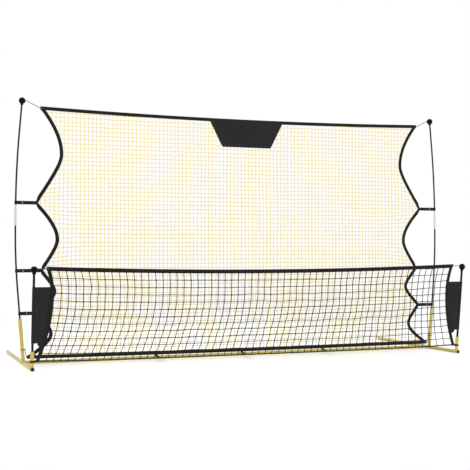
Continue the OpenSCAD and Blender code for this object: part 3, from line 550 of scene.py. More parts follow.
def skin(name, rings, lengths, closed=False, corded=False):
    # joins stations of points into a closed skin, with a UV map in metres along and round it.
    # corded also stores the wind of a cord's strands.
    rings = np.asarray(rings, float)
    count, sides = rings.shape[:2]
    around = runLengths(rings[0], True)
    faces, uvs = [], []
    for i in range(count if closed else count - 1):
        for j in range(sides):
            k = (j + 1) % sides
            n = (i + 1) % count
            faces.append((i * sides + j, n * sides + j, n * sides + k, i * sides + k))
            a, b = lengths[i], lengths[i + 1]
            uvs += [(a, around[j]), (b, around[j]), (b, around[j + 1]), (a, around[j + 1])]
    if not closed:
        for end in (0, count - 1):
            faces.append(tuple(range(end * sides, (end + 1) * sides)))
            uvs += [(lengths[end], around[j]) for j in range(sides)]
    mesh = bpy.data.meshes.new(name)
    mesh.from_pydata(rings.reshape(-1, 3).tolist(), [], faces)
    mesh.uv_layers.new(name="UVMap").data.foreach_set("uv", np.array(uvs).ravel())
    if corded:
        wind = [(math.cos(t), math.sin(t), lengths[i]) for i in range(count)
                for t in circleAngles(sides)]
        layer = mesh.attributes.new("wind", "FLOAT_VECTOR", "POINT")
        layer.data.foreach_set("vector", np.array(wind).ravel())
    outward(mesh)
    mesh.polygons.foreach_set("use_smooth", [len(p.vertices) == 4 for p in mesh.polygons])
    return mesh


def addPiece(name, mesh, slot, replaced=(), body="frame", material=None):
    # a finished piece: its slot and look, its body, and the nodes that it stands for
    mesh.materials.clear()
    mesh.materials.append(material or slotFinishes[slot])
    piece = addObject(name, mesh)
    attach(piece, body)
    if replaced:
        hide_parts(*replaced)
    return piece


def addPair(name, mesh, slot, node="", body="frame", material=None):
    # a right-hand piece and its twin. %s in the node or body stands for the side, and a node
    # without it is stood for by the right-hand piece.
    twin = mesh.copy()
    twin.transform(Matrix.Scale(-1, 4, (1, 0, 0)))
    twin.flip_normals()
    pair = []
    for side, shape in (("right", mesh), ("left", twin)):
        own = node and (side == "right" or "%s" in node)
        pair.append(addPiece(side + name, shape, slot, [node.replace("%s", side)] if own else [],
                             body.replace("%s", side), material))
    return pair


def springClips():
    # each clip as a piece of its own, with its loose triangles merged
    for number in range(1, 5):
        node = "spring_clip_%d" % number
        mesh = outward(joined("springClip", [nodes[node].data], 1e-5))
        piece = addPiece("springClip.%d" % number, mesh, "spring", [node])
        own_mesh(piece)


springClips()
print("spring clips")


# geometry node trees make what repeats or follows a path

def geometryTree(name, **inputs):
    return newTree(name, "GeometryNodeTree", Geometry="Geometry", **inputs, Material="Material")


def endTree(tree, geometry, give):
    real = put(tree, "GeometryNodeRealizeInstances", {0: geometry}).outputs[0]
    smooth = put(tree, "GeometryNodeSetShadeSmooth", {0: real}).outputs[0]
    dyed = put(tree, "GeometryNodeSetMaterial", {0: smooth, "Material": give["Material"]})
    return closeTree(tree, "Geometry", Geometry=dyed.outputs[0])


def captured(tree, geometry, kind, label, value):
    node = put(tree, "GeometryNodeCaptureAttribute", {0: geometry}, domain="POINT")
    node.capture_items.new(kind, label)
    tree.links.new(value, node.inputs[label])
    return node.outputs


def buildCordTree():
    # round cords along the edges of a wire mesh, with the wind of their strands
    tree, give = geometryTree("cords", Radius=0.0015, Sides=5)
    curve = put(tree, "GeometryNodeMeshToCurve", {0: give["Geometry"]}).outputs[0]
    along = put(tree, "GeometryNodeSplineParameter").outputs["Length"]
    marked = captured(tree, curve, "FLOAT", "Length", along)
    ring = put(tree, "GeometryNodeCurvePrimitiveCircle",
               {"Resolution": give["Sides"], "Radius": give["Radius"]}).outputs[0]
    spot = put(tree, "GeometryNodeInputPosition").outputs[0]
    turned = captured(tree, ring, "VECTOR", "Place", spot)
    tube = put(tree, "GeometryNodeCurveToMesh",
               {"Curve": marked[0], "Profile Curve": turned[0], "Fill Caps": True}).outputs[0]
    parts = put(tree, "ShaderNodeSeparateXYZ", {0: turned["Place"]}).outputs
    cosine, sine = (calc("DIVIDE", parts[k], give["Radius"]) for k in (0, 1))
    wind = put(tree, "ShaderNodeCombineXYZ", {0: cosine, 1: sine, 2: marked["Length"]})
    kept = put(tree, "GeometryNodeStoreNamedAttribute",
               {0: tube, "Name": "wind", "Value": wind.outputs[0]},
               data_type="FLOAT_VECTOR", domain="POINT")
    return endTree(tree, kept.outputs[0], give)


def scatter(tree, give, **inputs):
    # a copy of the Instance on each of the Points
    spots = put(tree, "GeometryNodeInstanceOnPoints", inputs).outputs[0]
    return endTree(tree, spots, give)


def randomVector(tree, low, high, seed):
    return put(tree, "FunctionNodeRandomValue", {0: low, 1: high, "Seed": seed},
               data_type="FLOAT_VECTOR").outputs[0]


def buildKnotTree():
    # a small knot on each point of the mesh, turned and sized at random
    tree, give = geometryTree("knots", Size=0.003, Flatness=0.8, Detail=1, Seed=3)
    points = put(tree, "GeometryNodeMeshToPoints", {0: give["Geometry"]}).outputs[0]
    ball = put(tree, "GeometryNodeMeshIcoSphere",
               {"Radius": give["Size"], "Subdivisions": give["Detail"]}).outputs[0]
    turn = randomVector(tree, (0, -0.5, 0), (0, 0.5, 0), give["Seed"])
    size = put(tree, "FunctionNodeRandomValue", {2: 0.85, 3: 1.15, "Seed": give["Seed"]},
               data_type="FLOAT").outputs[1]
    flat = times(size, give["Flatness"])
    shape = put(tree, "ShaderNodeCombineXYZ", {0: size, 1: flat, 2: size}).outputs[0]
    return scatter(tree, give, Points=points, Instance=ball, Rotation=turn, Scale=shape)


def rowTree(name, segments, rings, radius, **inputs):
    # balls in equal steps along the edges of a wire mesh; radius is a size or an input's name
    tree, give = geometryTree(name, **inputs)
    curve = put(tree, "GeometryNodeMeshToCurve", {0: give["Geometry"]}).outputs[0]
    row = put(tree, "GeometryNodeCurveToPoints", {0: curve, "Length": give["Pitch"]},
              mode="LENGTH").outputs
    size = give[radius] if isinstance(radius, str) else radius
    ball = put(tree, "GeometryNodeMeshUVSphere",
               {"Segments": segments, "Rings": rings, "Radius": size}).outputs[0]
    return tree, give, ball, dict(Points=row["Points"], Rotation=row["Rotation"])


def buildStitchTree():
    tree, give, ball, row = rowTree("stitches", 6, 4, 1.0, Pitch=0.006, Length=0.004,
                                    Thread=0.0005)
    half = times(give["Length"], 0.5)
    shape = put(tree, "ShaderNodeCombineXYZ", {0: give["Thread"], 1: give["Thread"], 2: half})
    stitch = put(tree, "GeometryNodeTransform", {0: ball, "Scale": shape.outputs[0]}).outputs[0]
    return scatter(tree, give, Instance=stitch, **row)


def buildWeldTree():
    # overlapping ripples of weld metal
    tree, give, ball, row = rowTree("weld", 10, 6, "Width", Pitch=0.002, Width=0.0024, Seed=5)
    size = randomVector(tree, (0.9, 0.9, 0.7), (1.15, 1.15, 0.95), give["Seed"])
    return scatter(tree, give, Instance=ball, Scale=size, **row)


cordTree = buildCordTree()
knotTree = buildKnotTree()
stitchTree = buildStitchTree()
weldTree = buildWeldTree()


def chain(lines, closed=False):
    # one wire mesh of several lines: its points and edges
    points, edges = [], []
    for line in lines:
        start = len(points)
        points += [tuple(p) for p in line]
        edges += [(start + i, start + i + 1) for i in range(len(line) - 1)]
        if closed:
            edges.append((len(points) - 1, start))
    return points, edges


def grow(name, wire, tree, slot, replaced=(), material=None, **values):
    # runs a tree on a wire mesh and keeps the result as a piece with a plain mesh
    mesh = bpy.data.meshes.new(name + "Wire")
    mesh.from_pydata(*wire, [])
    source = addObject(name + "Source", mesh)
    modifier = source.modifiers.new(tree.name, "NODES")
    modifier.node_group = tree
    values["Material"] = material or slotFinishes[slot]
    for item in tree.interface.items_tree:
        if item.in_out == "INPUT" and item.name in values:
            modifier[item.identifier] = values[item.name]
    bpy.context.view_layer.update()
    shaped = source.evaluated_get(bpy.context.evaluated_depsgraph_get())
    grown = bpy.data.meshes.new_from_object(shaped)
    grown.name = name
    source.modifiers.clear()
    bpy.data.objects.remove(source)
    bpy.data.meshes.remove(mesh)
    return addPiece(name, grown, slot, replaced, material=material)


# the thread, and each kind of row's pitch and stitch length
stitchSetup = dict(thread=0.00042, webbing=(0.0075, 0.005), cloth=(0.0065, 0.0045),
                   strap=(0.0036, 0.0026))


def stitchRows(name, lines, slot, kind):
    pitch, length = stitchSetup[kind]
    grow(name, chain(lines), stitchTree, slot, material=finishes["sewingThread"], Pitch=pitch,
         Length=length, Thread=stitchSetup["thread"])


# where things are, from the frame

up = at(0, 0, 1)
toFront = at(0, -1, 0)
inward = at(-1, 0, 0)                               # from the right-hand side
strapNames = ("upper", "middle", "lower")
strapHeights = [boxMiddle("right_%s_buckle" % name)[2] for name in strapNames]
rearY = boxMiddle("rear_top_webbing")[1]
frontPole = nodePoints("right_front_pole")
poleMiddle = (frontPole.max(0) + frontPole.min(0)) / 2
leanUp = mainAxis("right_front_pole")
leanOut = at(0, -leanUp[2], leanUp[1])              # out of the leaning plane, to the front


def planeY(z):
    return poleMiddle[1] + (z - poleMiddle[2]) * leanUp[1] / leanUp[2]


def bandCurve(name):
    # a long band's centreline as a parabola in x, its half width and its end
    points = nodePoints(name)
    xs, lows, highs = span(points[:, 2], points[:, 0], 4)
    return np.polyfit(xs, (lows + highs) / 2, 2), np.median(highs - lows) / 2, xs.max()


topCurve, bandHalf, topReach = bandCurve("rear_top_webbing")
bottomCurve = bandCurve("rear_bottom_webbing")[0]
bandSetup = dict(thickness=0.0040, hemThickness=0.0028, crown=0.12, stations=150,
                 sideStations=90, scallopFine=3, rows=(0.1, 0.9), hemRows=(0.2,),
                 rowShort=0.004, rowLift=0.0001, lapped=(0.018, 0.020), layer=0.0012,
                 frontLapped=(0.014, 0.006), frontLayer=0.0014, layerRun=0.03)


def tapeProfile(width, thickness, fold):
    # section of a folded tape: across it, and out of its plane. fold is the rounded side.
    half = thickness / 2
    points = [(width / 2 - half + half * math.cos(a), half * math.sin(a))
              for a in np.linspace(-math.pi / 2, math.pi / 2, 7)]
    front = [(width * s, half * (1 + bandSetup["crown"] * math.cos(math.pi * s)))
             for s in (0.3, 0.1, -0.1, -0.3)]
    lip = [(-width / 2 + half * a, half * b) for a, b in (
        (1, 1), (0.3, 0.85), (0, 0.45), (0, -0.45), (0.3, -0.85), (1, -1))]
    back = [(across, -out) for across, out in reversed(front)]
    return [(fold * across, out) for across, out in points + front + lip + back]


def tape(name, inner, outer, outs, thickness, fold):
    # a folded band between two edges; outs are the directions that its front faces
    rings = []
    for a, b, out in zip(inner, outer, outs):
        width = np.linalg.norm(b - a)
        across = (b - a) / width
        profile = tapeProfile(width, thickness, fold)
        rings.append([(a + b) / 2 + across * s + out * t for s, t in profile])
    return skin(name, rings, runLengths((np.array(inner) + np.array(outer)) / 2))


def rowsOn(inner, outer, outs, thickness, shares):
    # lines for stitch rows on both faces of a band, which stop a little short of its ends
    lines = []
    for share in shares:
        for face in (1, -1):
            line = [a + (b - a) * share + out * face * (thickness / 2 + bandSetup["rowLift"])
                    for a, b, out in zip(inner, outer, outs)]
            for end, beside in ((0, 1), (-1, -2)):
                step = line[beside] - line[end]
                cut = min(0.6, bandSetup["rowShort"] / np.linalg.norm(step))
                line[end] = line[end] + step * cut
            lines.append(line)
    return lines


def mirrorLines(lines):
    return lines + [[p * at(-1, 1, 1) for p in line] for line in lines]


def addBand(name, slot, node, inner, outer, outs, fold=1,
            thickness=bandSetup["thickness"], shares=bandSetup["rows"]):
    # a band, or a pair of them where %s in the node stands for the side; gives its rows
    mesh = tape(name, inner, outer, outs, thickness, fold)
    rows = rowsOn(inner, outer, outs, thickness, shares)
    if "%s" in node:
        addPair(name, mesh, slot, node)
        return mirrorLines(rows)
    addPiece(name, mesh, slot, [node])
    return rows


def levelBand(name, fold=1):
    # the webbing along the rear net's top or bottom edge
    curve, half, reach = bandCurve(name)
    xs = np.linspace(-reach, reach, bandSetup["stations"])
    inner, outer = [], []
    for x, s in zip(xs, np.polyval(np.polyder(curve), xs)):
        mid = at(x, rearY, np.polyval(curve, x))
        across = at(-s, 0, 1) / math.hypot(s, 1)
        inner.append(mid - across * half)
        outer.append(mid + across * half)
    return addBand(name + "Tape", "rear_webbing", name, inner, outer, [toFront] * len(xs), fold)


def scallopEdges():
    # inner and outer edges of the right-hand webbing, refined between its strap ends
    points = nodePoints("right_rear_webbing")
    levels, inner, outer = span(points[:, 0], points[:, 2])
    splits = sorted(int(np.argmin(np.abs(levels - z))) for z in strapHeights)
    parts = [0] + splits + [len(levels) - 1]
    edges = []
    for xs in (inner, outer):
        line = []
        for a, b in zip(parts[:-1], parts[1:]):
            piece = smoothLine(np.column_stack([xs[a:b + 1], levels[a:b + 1]]),
                               bandSetup["scallopFine"])
            line.extend(piece if b == parts[-1] else piece[:-1])
        edges.append(np.array(line))
    return edges


scallopInner, scallopOuter = scallopEdges()


def scallopX(z):
    return np.interp(z, scallopInner[:, 1], scallopInner[:, 0])


def scallopBand():
    s = bandSetup
    edges = [[at(x, rearY, z) for x, z in edge] for edge in (scallopInner, scallopOuter)]
    # the ends run on under the top and bottom bands, a layer further back
    for line in edges:
        line.insert(0, line[0] + at(0.001, s["layer"], -s["lapped"][0]))
        line.append(line[-1] + at(-0.002, s["layer"], s["lapped"][1]))
    return addBand("ScallopTape", "rear_webbing", "%s_rear_webbing", *edges,
                   [toFront] * len(edges[0]))


rearRows = levelBand("rear_top_webbing") + levelBand("rear_bottom_webbing", -1) + scallopBand()
stitchRows("rearStitches", rearRows, "rear_webbing", "webbing")
print("rear webbing")

rearNetSetup = dict(pitchX=0.0287, pitchZ=0.02995, heights=(0.03, 1.8), cord=0.0019, sides=5,
                    overlap=0.003, pull=0.32, gather=0.02, reach=0.17, wave=0.0014,
                    waveScale=9.0, sway=0.0002, jig=0.0004, seed=11, knot=0.0029, flat=0.85,
                    detail=1, knotSeed=4, cuts=9)
netTips = [(scallopX(z), z) for z in strapHeights]   # where the straps draw the webbing out


def smoothNoise(seed, scale):
    # a gentle random field of x and z, the same on each run
    dice = random.Random(seed)
    waves = [(dice.uniform(-1, 1) * scale, dice.uniform(-1, 1) * scale,
              dice.uniform(0, 2 * math.pi)) for _ in range(7)]

    def value(x, z):
        return sum(math.sin(a * x + b * z + c) for a, b, c in waves) / 3
    return value


def pullNet(x, z):
    # near a strap's end the cords draw together towards it
    s = rearNetSetup
    side = 1 if x >= 0 else -1
    shiftX = shiftZ = 0.0
    for tipX, tipZ in netTips:
        near = math.exp(-((abs(x) - tipX) ** 2 + (z - tipZ) ** 2) / s["reach"] ** 2)
        shiftZ += s["pull"] * near * (tipZ - z)
        shiftX += s["gather"] * near
    return x + side * shiftX, z + shiftZ


def insideNet(x, z):
    lap = rearNetSetup["overlap"]
    top = np.polyval(topCurve, x) - bandHalf + lap
    bottom = np.polyval(bottomCurve, x) + bandHalf - lap
    return abs(x) < scallopX(z) + lap and bottom < z < top


def netLines(alongX):
    # net cords in one direction, cut where they meet the webbing
    s = rearNetSetup
    swayX, swayZ, swayY = (smoothNoise(s["seed"] + k, s["waveScale"]) for k in range(3))
    dice = random.Random(s["seed"])
    count = int(topReach / s["pitchX"]) + 1
    levels = np.arange(*s["heights"], s["pitchZ"])
    columns = [i * s["pitchX"] for i in range(-count, count + 1)]

    def spot(x, z):
        a, b = pullNet(x + s["wave"] * swayX(x, z), z + s["wave"] * swayZ(x, z))
        return a + dice.uniform(-s["jig"], s["jig"]), b + dice.uniform(-s["jig"], s["jig"])

    lines = []
    for fixed in (levels if alongX else columns):
        line, before = [], None
        for moving in (columns if alongX else levels):
            now = spot(moving, fixed) if alongX else spot(fixed, moving)
            if before and insideNet(*before) != insideNet(*now):
                low, high = (before, now) if insideNet(*before) else (now, before)
                for _ in range(s["cuts"]):
                    mid = ((low[0] + high[0]) / 2, (low[1] + high[1]) / 2)
                    low, high = (mid, high) if insideNet(*mid) else (low, mid)
                line.append(low)
                if not insideNet(*now):
                    lines.append(line)
                    line = []
            if insideNet(*now):
                line.append(now)
            before = now
        lines.append(line)
    return [[at(x, rearY + s["sway"] * swayY(x, z), z) for x, z in line]
            for line in lines if len(line) > 1]


def addNet(name, node, lines, crossings, s):
    # a net's cords, and the knots where they cross
    slot = node + "_cord"
    grow(name + "Cords", chain(lines), cordTree, slot, [node], Radius=s["cord"],
         Sides=s["sides"])
    grow(name + "Knots", (crossings, []), knotTree, slot, Size=s["knot"], Flatness=s["flat"],
         Detail=s["detail"], Seed=s["knotSeed"])


netAcross, netDown = netLines(True), netLines(False)
netCrossings = [p for line in netAcross for p in line[1:-1]]
addNet("rearNet", "rear_net", netAcross + netDown, netCrossings, rearNetSetup)
print("rear net:", len(netAcross), "by", len(netDown), "cords,", len(netCrossings), "knots")

frontNetSetup = dict(columns=60, rows=12, fine=3, cord=0.0026, sides=6, wave=0.0022, seed=23,
                     waveX=21.0, waveY=15.0, start=0.3, bend=0.25, knot=0.0050, flat=0.8,
                     detail=2, knotSeed=9, cornerZ=0.065, overlap=0.002, calm=12)


def frontEdges():
    # outer edge of the side webbing, as two curves that meet at the waist
    points = nodePoints("right_front_webbing")
    levels, _, outer = span(points[:, 0], points[:, 2], 4)
    levels, outer = levels[outer > 1.4], outer[outer > 1.4]     # without the webbing's ends
    waist = levels[np.argmin(outer)]
    low, high = (np.polyfit(levels[part], outer[part], 2)
                 for part in (levels <= waist + 0.001, levels >= waist - 0.001))
    return waist, low, high


frontWaist, frontLow, frontHigh = frontEdges()
frontTopCurve, frontTopHalf, frontReach = bandCurve("front_top_webbing")


def frontEdge(z):
    return float(np.polyval(frontHigh if z >= frontWaist else frontLow, z))


def hemStations():
    # centre, downward direction, front direction and half width of the hem at its stations
    points = nodePoints("front_hem")
    points = points[np.argsort(points[:, 0])]
    splits = np.nonzero(np.diff(points[:, 0]) > 0.03)[0] + 1
    stations = []
    for group in np.split(points, splits):
        middle = np.unique(np.round(group, 6), axis=0).mean(0)
        down = np.linalg.svd(group - middle, full_matrices=False)[2][0]
        down = down * (-1 if down[2] > 0 else 1)
        out = np.cross([1.0, 0, 0], down)
        out = out * (-1 if out[1] > 0 else 1) / np.linalg.norm(out)
        half = np.abs((group - middle) @ down).max()
        stations.append(np.concatenate([middle, down, out, [half]]))
    return np.array(stations)


hem = smoothLine(hemStations(), 4)
hemHalf = float(np.median(hem[:, 9]))


def hemAt(x):
    # centre, downward direction and front direction of the hem at x
    row = np.array([np.interp(x, hem[:, 0], hem[:, k]) for k in range(9)])
    return row[:3], row[3:6] / np.linalg.norm(row[3:6]), row[6:] / np.linalg.norm(row[6:])


def hemTop(x):
    # the hem's upper edge at x, as y and z
    edge = hem[:, :3] - hem[:, 3:6] * (hemHalf - 0.001)
    return [np.interp(x, edge[:, 0], edge[:, k]) for k in (1, 2)]


def drawn(v):
    # share of the ties' pull at height share v: none at first, then a soft bend to a ramp
    start, bend = frontNetSetup["start"], frontNetSetup["bend"]
    t = max(0.0, v - start) / (1 - start)
    return (math.hypot(t, bend) - bend) / (math.hypot(1, bend) - bend)


def frontPoint(u, v):
    # point of the front net: u runs across from -1 to 1, and v down from 0 to 1
    s = frontNetSetup
    lowY, lowZ = hemTop(u * (frontEdge(s["cornerZ"]) - 2 * bandHalf))
    topZ = np.polyval(frontTopCurve, u * (frontReach - 2 * bandHalf)) - frontTopHalf
    z = topZ + (lowZ - topZ) * v
    edge = frontEdge(z) - 2 * bandHalf + s["overlap"]
    return at(u * edge, planeY(z) + (lowY - planeY(lowZ)) * drawn(v), z)


def frontNet():
    s = frontNetSetup
    swayX, swayY = smoothNoise(s["seed"], s["waveX"]), smoothNoise(s["seed"] + 1, s["waveY"])

    def spot(i, j):
        u, v = 2 * i / s["columns"] - 1, j / s["rows"]
        point = frontPoint(u, v)
        free = math.sin(math.pi * v) ** 0.5 if 0 < v < 1 else 0.0
        free *= min(1.0, (1 - abs(u)) * s["calm"])
        shift = at(swayX(point[0] * 1.4, point[2] * 2.6), 1.3 * swayY(point[0], point[2]),
                   swayX(point[2] * 2.2 + 3, point[0] * 1.2))
        return point + shift * s["wave"] * free

    def steps(count):
        return np.arange(count * s["fine"] + 1) / s["fine"]
    across = [[spot(i, j) for i in steps(s["columns"])] for j in range(s["rows"] + 1)]
    down = [[spot(i, j) for j in steps(s["rows"])] for i in range(s["columns"] + 1)]
    crossings = [spot(i, j) for i in range(s["columns"] + 1) for j in range(s["rows"] + 1)]
    addNet("frontNet", "front_net", across + down, crossings, s)


def frontBands():
    s = bandSetup
    # along the top
    xs = np.linspace(-frontReach, frontReach, s["stations"])
    middles = [at(x, planeY(z), z) for x, z in zip(xs, np.polyval(frontTopCurve, xs))]
    edges = [[m + leanUp * side * bandHalf for m in middles] for side in (-1, 1)]
    lines = addBand("frontTopTape", "front_webbing", "front_top_webbing", *edges,
                    [leanOut] * len(xs))
    # down each side, with its ends a layer behind the top band and the hem
    low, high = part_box("right_front_webbing")
    outer = []
    for z in np.linspace(high.z + s["frontLapped"][0], low.z - s["frontLapped"][1],
                         s["sideStations"]):
        near = min(abs(z - high.z), abs(z - low.z))
        back = s["frontLayer"] * max(0.0, 1 - near / s["layerRun"])
        outer.append(at(frontEdge(z), planeY(z), z) - leanOut * back)
    inner = [p + inward * 2 * bandHalf for p in outer]
    lines += addBand("FrontTape", "front_webbing", "%s_front_webbing", inner, outer,
                     [leanOut] * len(outer))
    # the narrow hem
    edges = [hem[:, :3] + hem[:, 3:6] * side * hemHalf for side in (-1, 1)]
    lines += addBand("hemTape", "front_webbing", "front_hem", *edges, hem[:, 6:9],
                     thickness=s["hemThickness"], shares=s["hemRows"])
    stitchRows("frontStitches", lines, "front_webbing", "webbing")


frontNet()
frontBands()
print("front net")


def gridMesh(name, grid):
    # a sheet through rows of points, with UVs in metres, and its area
    grid = np.asarray(grid, float)
    rows, columns = grid.shape[:2]
    downs = np.cumsum(np.linalg.norm(np.diff(grid, axis=0, prepend=grid[:1]), axis=2), 0)
    across = np.cumsum(np.linalg.norm(np.diff(grid, axis=1, prepend=grid[:, :1]), axis=2), 1)
    faces = [(i * columns + j, i * columns + j + 1, (i + 1) * columns + j + 1,
              (i + 1) * columns + j) for i in range(rows - 1) for j in range(columns - 1)]
    mesh = bpy.data.meshes.new(name)
    mesh.from_pydata(grid.reshape(-1, 3).tolist(), [], faces)
    flat = np.stack([across, downs], 2).reshape(-1, 2)[[v for f in faces for v in f]]
    mesh.uv_layers.new(name="UVMap").data.foreach_set("uv", flat.ravel())
    mesh.polygons.foreach_set("use_smooth", [True] * len(faces))
    return mesh, float(sum(p.area for p in mesh.polygons))


def thicken(piece, thickness):
    wall = piece.modifiers.new("cloth", "SOLIDIFY")
    wall.thickness = thickness
    wall.offset = 0.0
    wall.use_even_offset = False


panelSetup = dict(columns=72, rows=30, thickness=0.0011, wrinkle=0.0007, waveScale=26.0,
                  hem=0.012, ridge=0.0005, ease=0.02, seam=0.009, seamLift=0.0012, seed=31)


def targetPanel():
    s = panelSetup
    points = nodePoints("target_panel")
    (left, faceY, low), (right, backY, high) = points.min(0), points.max(0)
    outline = np.unique(np.round(points[np.abs(points[:, 1] - faceY) < 1e-4][:, [0, 2]], 6),
                        axis=0)
    middle, y = (left + right) / 2, (faceY + backY) / 2
    levels, lefts, rights = span(outline[:, 0], outline[:, 1], 6)
    wrinkle = smoothNoise(s["seed"], s["waveScale"])
    heights = high + (low - high) * np.sin(np.linspace(0, math.pi / 2, s["rows"]))
    rim = [np.interp(z, levels, (rights - lefts) / 2) for z in heights]
    grid = []
    for z, half in zip(heights, rim):
        row = []
        for k in np.linspace(-1, 1, s["columns"]):
            edge = min((1 - abs(k)) * half, z - low + 0.002, high - z + 0.002)
            ridge = s["ridge"] if edge < s["hem"] else 0
            dent = s["wrinkle"] * wrinkle(k * half, z) * min(1.0, edge / s["ease"])
            row.append(at(middle + k * half, y - ridge + dent, z))
        grid.append(row)
    mesh, area = gridMesh("targetPanel", grid)
    piece = addPiece("targetPanel", mesh, "panel_fabric", ["target_panel"])
    thicken(piece, s["thickness"])
    seam = [at(middle - max(h - s["seam"], 0.0), y, z)
            for z, h in zip(heights, rim) if z > low + s["seam"]]
    loop = seam + [p * at(-1, 1, 1) + at(2 * middle, 0, 0) for p in seam[::-1]]
    lines = [[p + toFront * face * s["seamLift"] for p in loop + loop[:1]] for face in (1, -1)]
    stitchRows("panelStitches", lines, "panel_fabric", "cloth")


wingSetup = dict(columns=30, rows=60, thickness=0.0011, wrinkle=0.0012, waveScale=17.0,
                 rise=0.0006, tuck=0.010, behind=0.0032, behindRun=0.012, sleeve=0.0094,
                 wrap=14, wrapStart=-62, wrapTurn=304, lap=0.024, lapOut=-0.0011,
                 lapSteps=(-0.008, -0.004, 0, 0.004), seams=(-0.002, 0.0015),
                 seamLifts=(0.0009, -0.00171), hemShare=0.015, hemLift=0.0008, seed=37)


def wingSheets():
    # a sheet from the webbing to the front pole, round it and back on itself
    s = wingSetup
    poleX = poleMiddle[0]
    radius = (frontPole[:, 0].max() - frontPole[:, 0].min()) / 2
    points = nodePoints("right_wing")
    flat = points[(np.abs((points - poleMiddle) @ leanOut) < 0.0012)
                  & (points[:, 0] < poleX - radius)]
    high = flat[:, 2].max()
    low = flat[flat[:, 0] > poleX - 0.03][:, 2].min()
    bottoms = flat[flat[:, 2] < low + 0.001]
    bottomX, _, bottomZ = bottoms[np.argsort(bottoms[:, 0])].T
    wrinkle = smoothNoise(s["seed"], s["waveScale"])

    def sheetPoint(x, z, out):
        return at(x, planeY(z), z) + leanOut * out

    grid = []
    for t in np.linspace(0, 1, s["rows"]):
        row = []
        for k in np.linspace(0, 1, s["columns"]):
            z = high + (low - high) * t
            for _ in range(3):
                start = frontEdge(z) - s["tuck"]
                x = start + (poleX - s["lap"] - start) * k
                z = high + (np.interp(x, bottomX, bottomZ) - high) * t
            loose = math.sin(math.pi * k) ** 0.6 * s["wrinkle"]
            folds = wrinkle(x * 2.2, z) + 0.6 * wrinkle(z * 2.4 + x * 3, x)
            # its edge is sewn on behind the webbing
            inside = max(0.0, x - frontEdge(z) + 0.001) / s["behindRun"]
            behind = s["behind"] * max(0.0, 1 - inside)
            row.append(sheetPoint(x, z, s["rise"] + loose * folds - behind))
        z = high + (low - high) * t
        for turn in np.linspace(0, 1, s["wrap"]):
            angle = math.radians(s["wrapStart"] + turn * s["wrapTurn"])
            row.append(sheetPoint(poleX + s["sleeve"] * math.sin(angle), z,
                                  s["sleeve"] * math.cos(angle)))
        for step in s["lapSteps"]:
            row.append(sheetPoint(poleX - s["lap"] - step, z, s["lapOut"]))
        grid.append(row)
    mesh, area = gridMesh("rightWing", grid)
    pair = addPair("Wing", mesh, "wing_fabric", "%s_wing")
    for piece, pole in zip(pair, ("right_front_pole", "left_front_pole")):
        thicken(piece, s["thickness"])
    seams = []
    for offset in s["seams"]:
        seam = [row[s["columns"] - 1] - at(offset, 0, 0) for row in grid[1:-1]]
        seams += [[p + leanOut * lift for p in seam] for lift in s["seamLifts"]]
    for end, other in ((-1, 0), (0, -1)):
        row = [p * (1 - s["hemShare"]) + q * s["hemShare"]
               for p, q in zip(grid[end][:s["columns"]], grid[other])]
        seams += [[p + leanOut * side * s["hemLift"] for p in row] for side in (1, -1)]
    stitchRows("wingStitches", mirrorLines(seams), "wing_fabric", "cloth")


targetPanel()
wingSheets()
print("cloth")


def ribbon(path, width, wide, thickness, rounded=0.0004):
    # a flat strap swept along a path; wide is the direction of its width, and its width is
    # one value or one for each point
    path = np.asarray(path, float)
    halves = np.broadcast_to(np.asarray(width, float) / 2, len(path))
    deep = thickness / 2
    rings = []
    for point, step, half in zip(path, np.gradient(path, axis=0), halves):
        out = np.cross(step, wide)
        out /= np.linalg.norm(out)
        section = [(half, deep - rounded), (half, rounded - deep), (half - rounded, -deep),
                   (rounded - half, -deep), (-half, rounded - deep), (-half, deep - rounded),
                   (rounded - half, deep), (half - rounded, deep)]
        rings.append([point + wide * a + out * b for a, b in section])
    return skin("ribbon", rings, runLengths(path))


# a strap starts at these steps along and in front of the webbing
strapSetup = dict(sewn=((-0.016, 0.0031), (-0.004, 0.0031), (0.003, 0.0010)), free=0.006,
                  steps=14, layer=0.0008, fold=0.0180, turnIn=(0.004, 0.0028), loop=0.0080,
                  loopTurn=(215, 505), loopSteps=26, thickness=0.0015, slim=0.0008,
                  box=(-0.0145, 0.0125), boxDepth=0.0040, boxInset=0.003)


def straps():
    s = strapSetup
    meshes, lines = [], []
    across = at(0, 1, 0)
    points = nodePoints("right_straps")

    def flipped(line):
        return [p * at(1, -1, 1) + at(0, 2 * rearY, 0) for p in line]

    for z in strapHeights:
        own = points[np.abs(points[:, 2] - z) < bandHalf + 0.002]
        poleX = own[:, 0].max() - (own[:, 1].max() - own[:, 1].min()) / 2
        netX = own[:, 0].min()
        pole = at(poleX, rearY, z)
        front = [at(netX + along, rearY - out, z) for along, out in s["sewn"]]
        front += [at(x, rearY - s["layer"], z)
                  for x in np.linspace(netX + s["free"], poleX - s["fold"], s["steps"])]
        ease = [pole + inward * (s["loop"] + s["turnIn"][0])
                - across * (s["layer"] + s["turnIn"][1])]
        loop = arcPath(pole, s["loop"], *s["loopTurn"], -inward, across, s["loopSteps"])
        path = front + ease + loop + flipped(ease) + flipped(front[::-1])
        meshes.append(ribbon(path, 2 * bandHalf - s["slim"], up, s["thickness"]))
        inset = bandHalf - s["boxInset"]
        for face in (1, -1):
            low, high = (netX + x for x in s["box"])
            a, b, c, d = (at(x, rearY - face * s["boxDepth"], z + dz) for x, dz in (
                (low, -inset), (high, -inset), (high, inset), (low, inset)))
            lines += [[a, d], [a, c], [b, d], [a, (a + b) / 2], [d, (c + d) / 2]]
    addPair("Straps", joined("straps", meshes), "strap", "%s_straps")
    stitchRows("strapStitches", mirrorLines(lines), "strap", "strap")


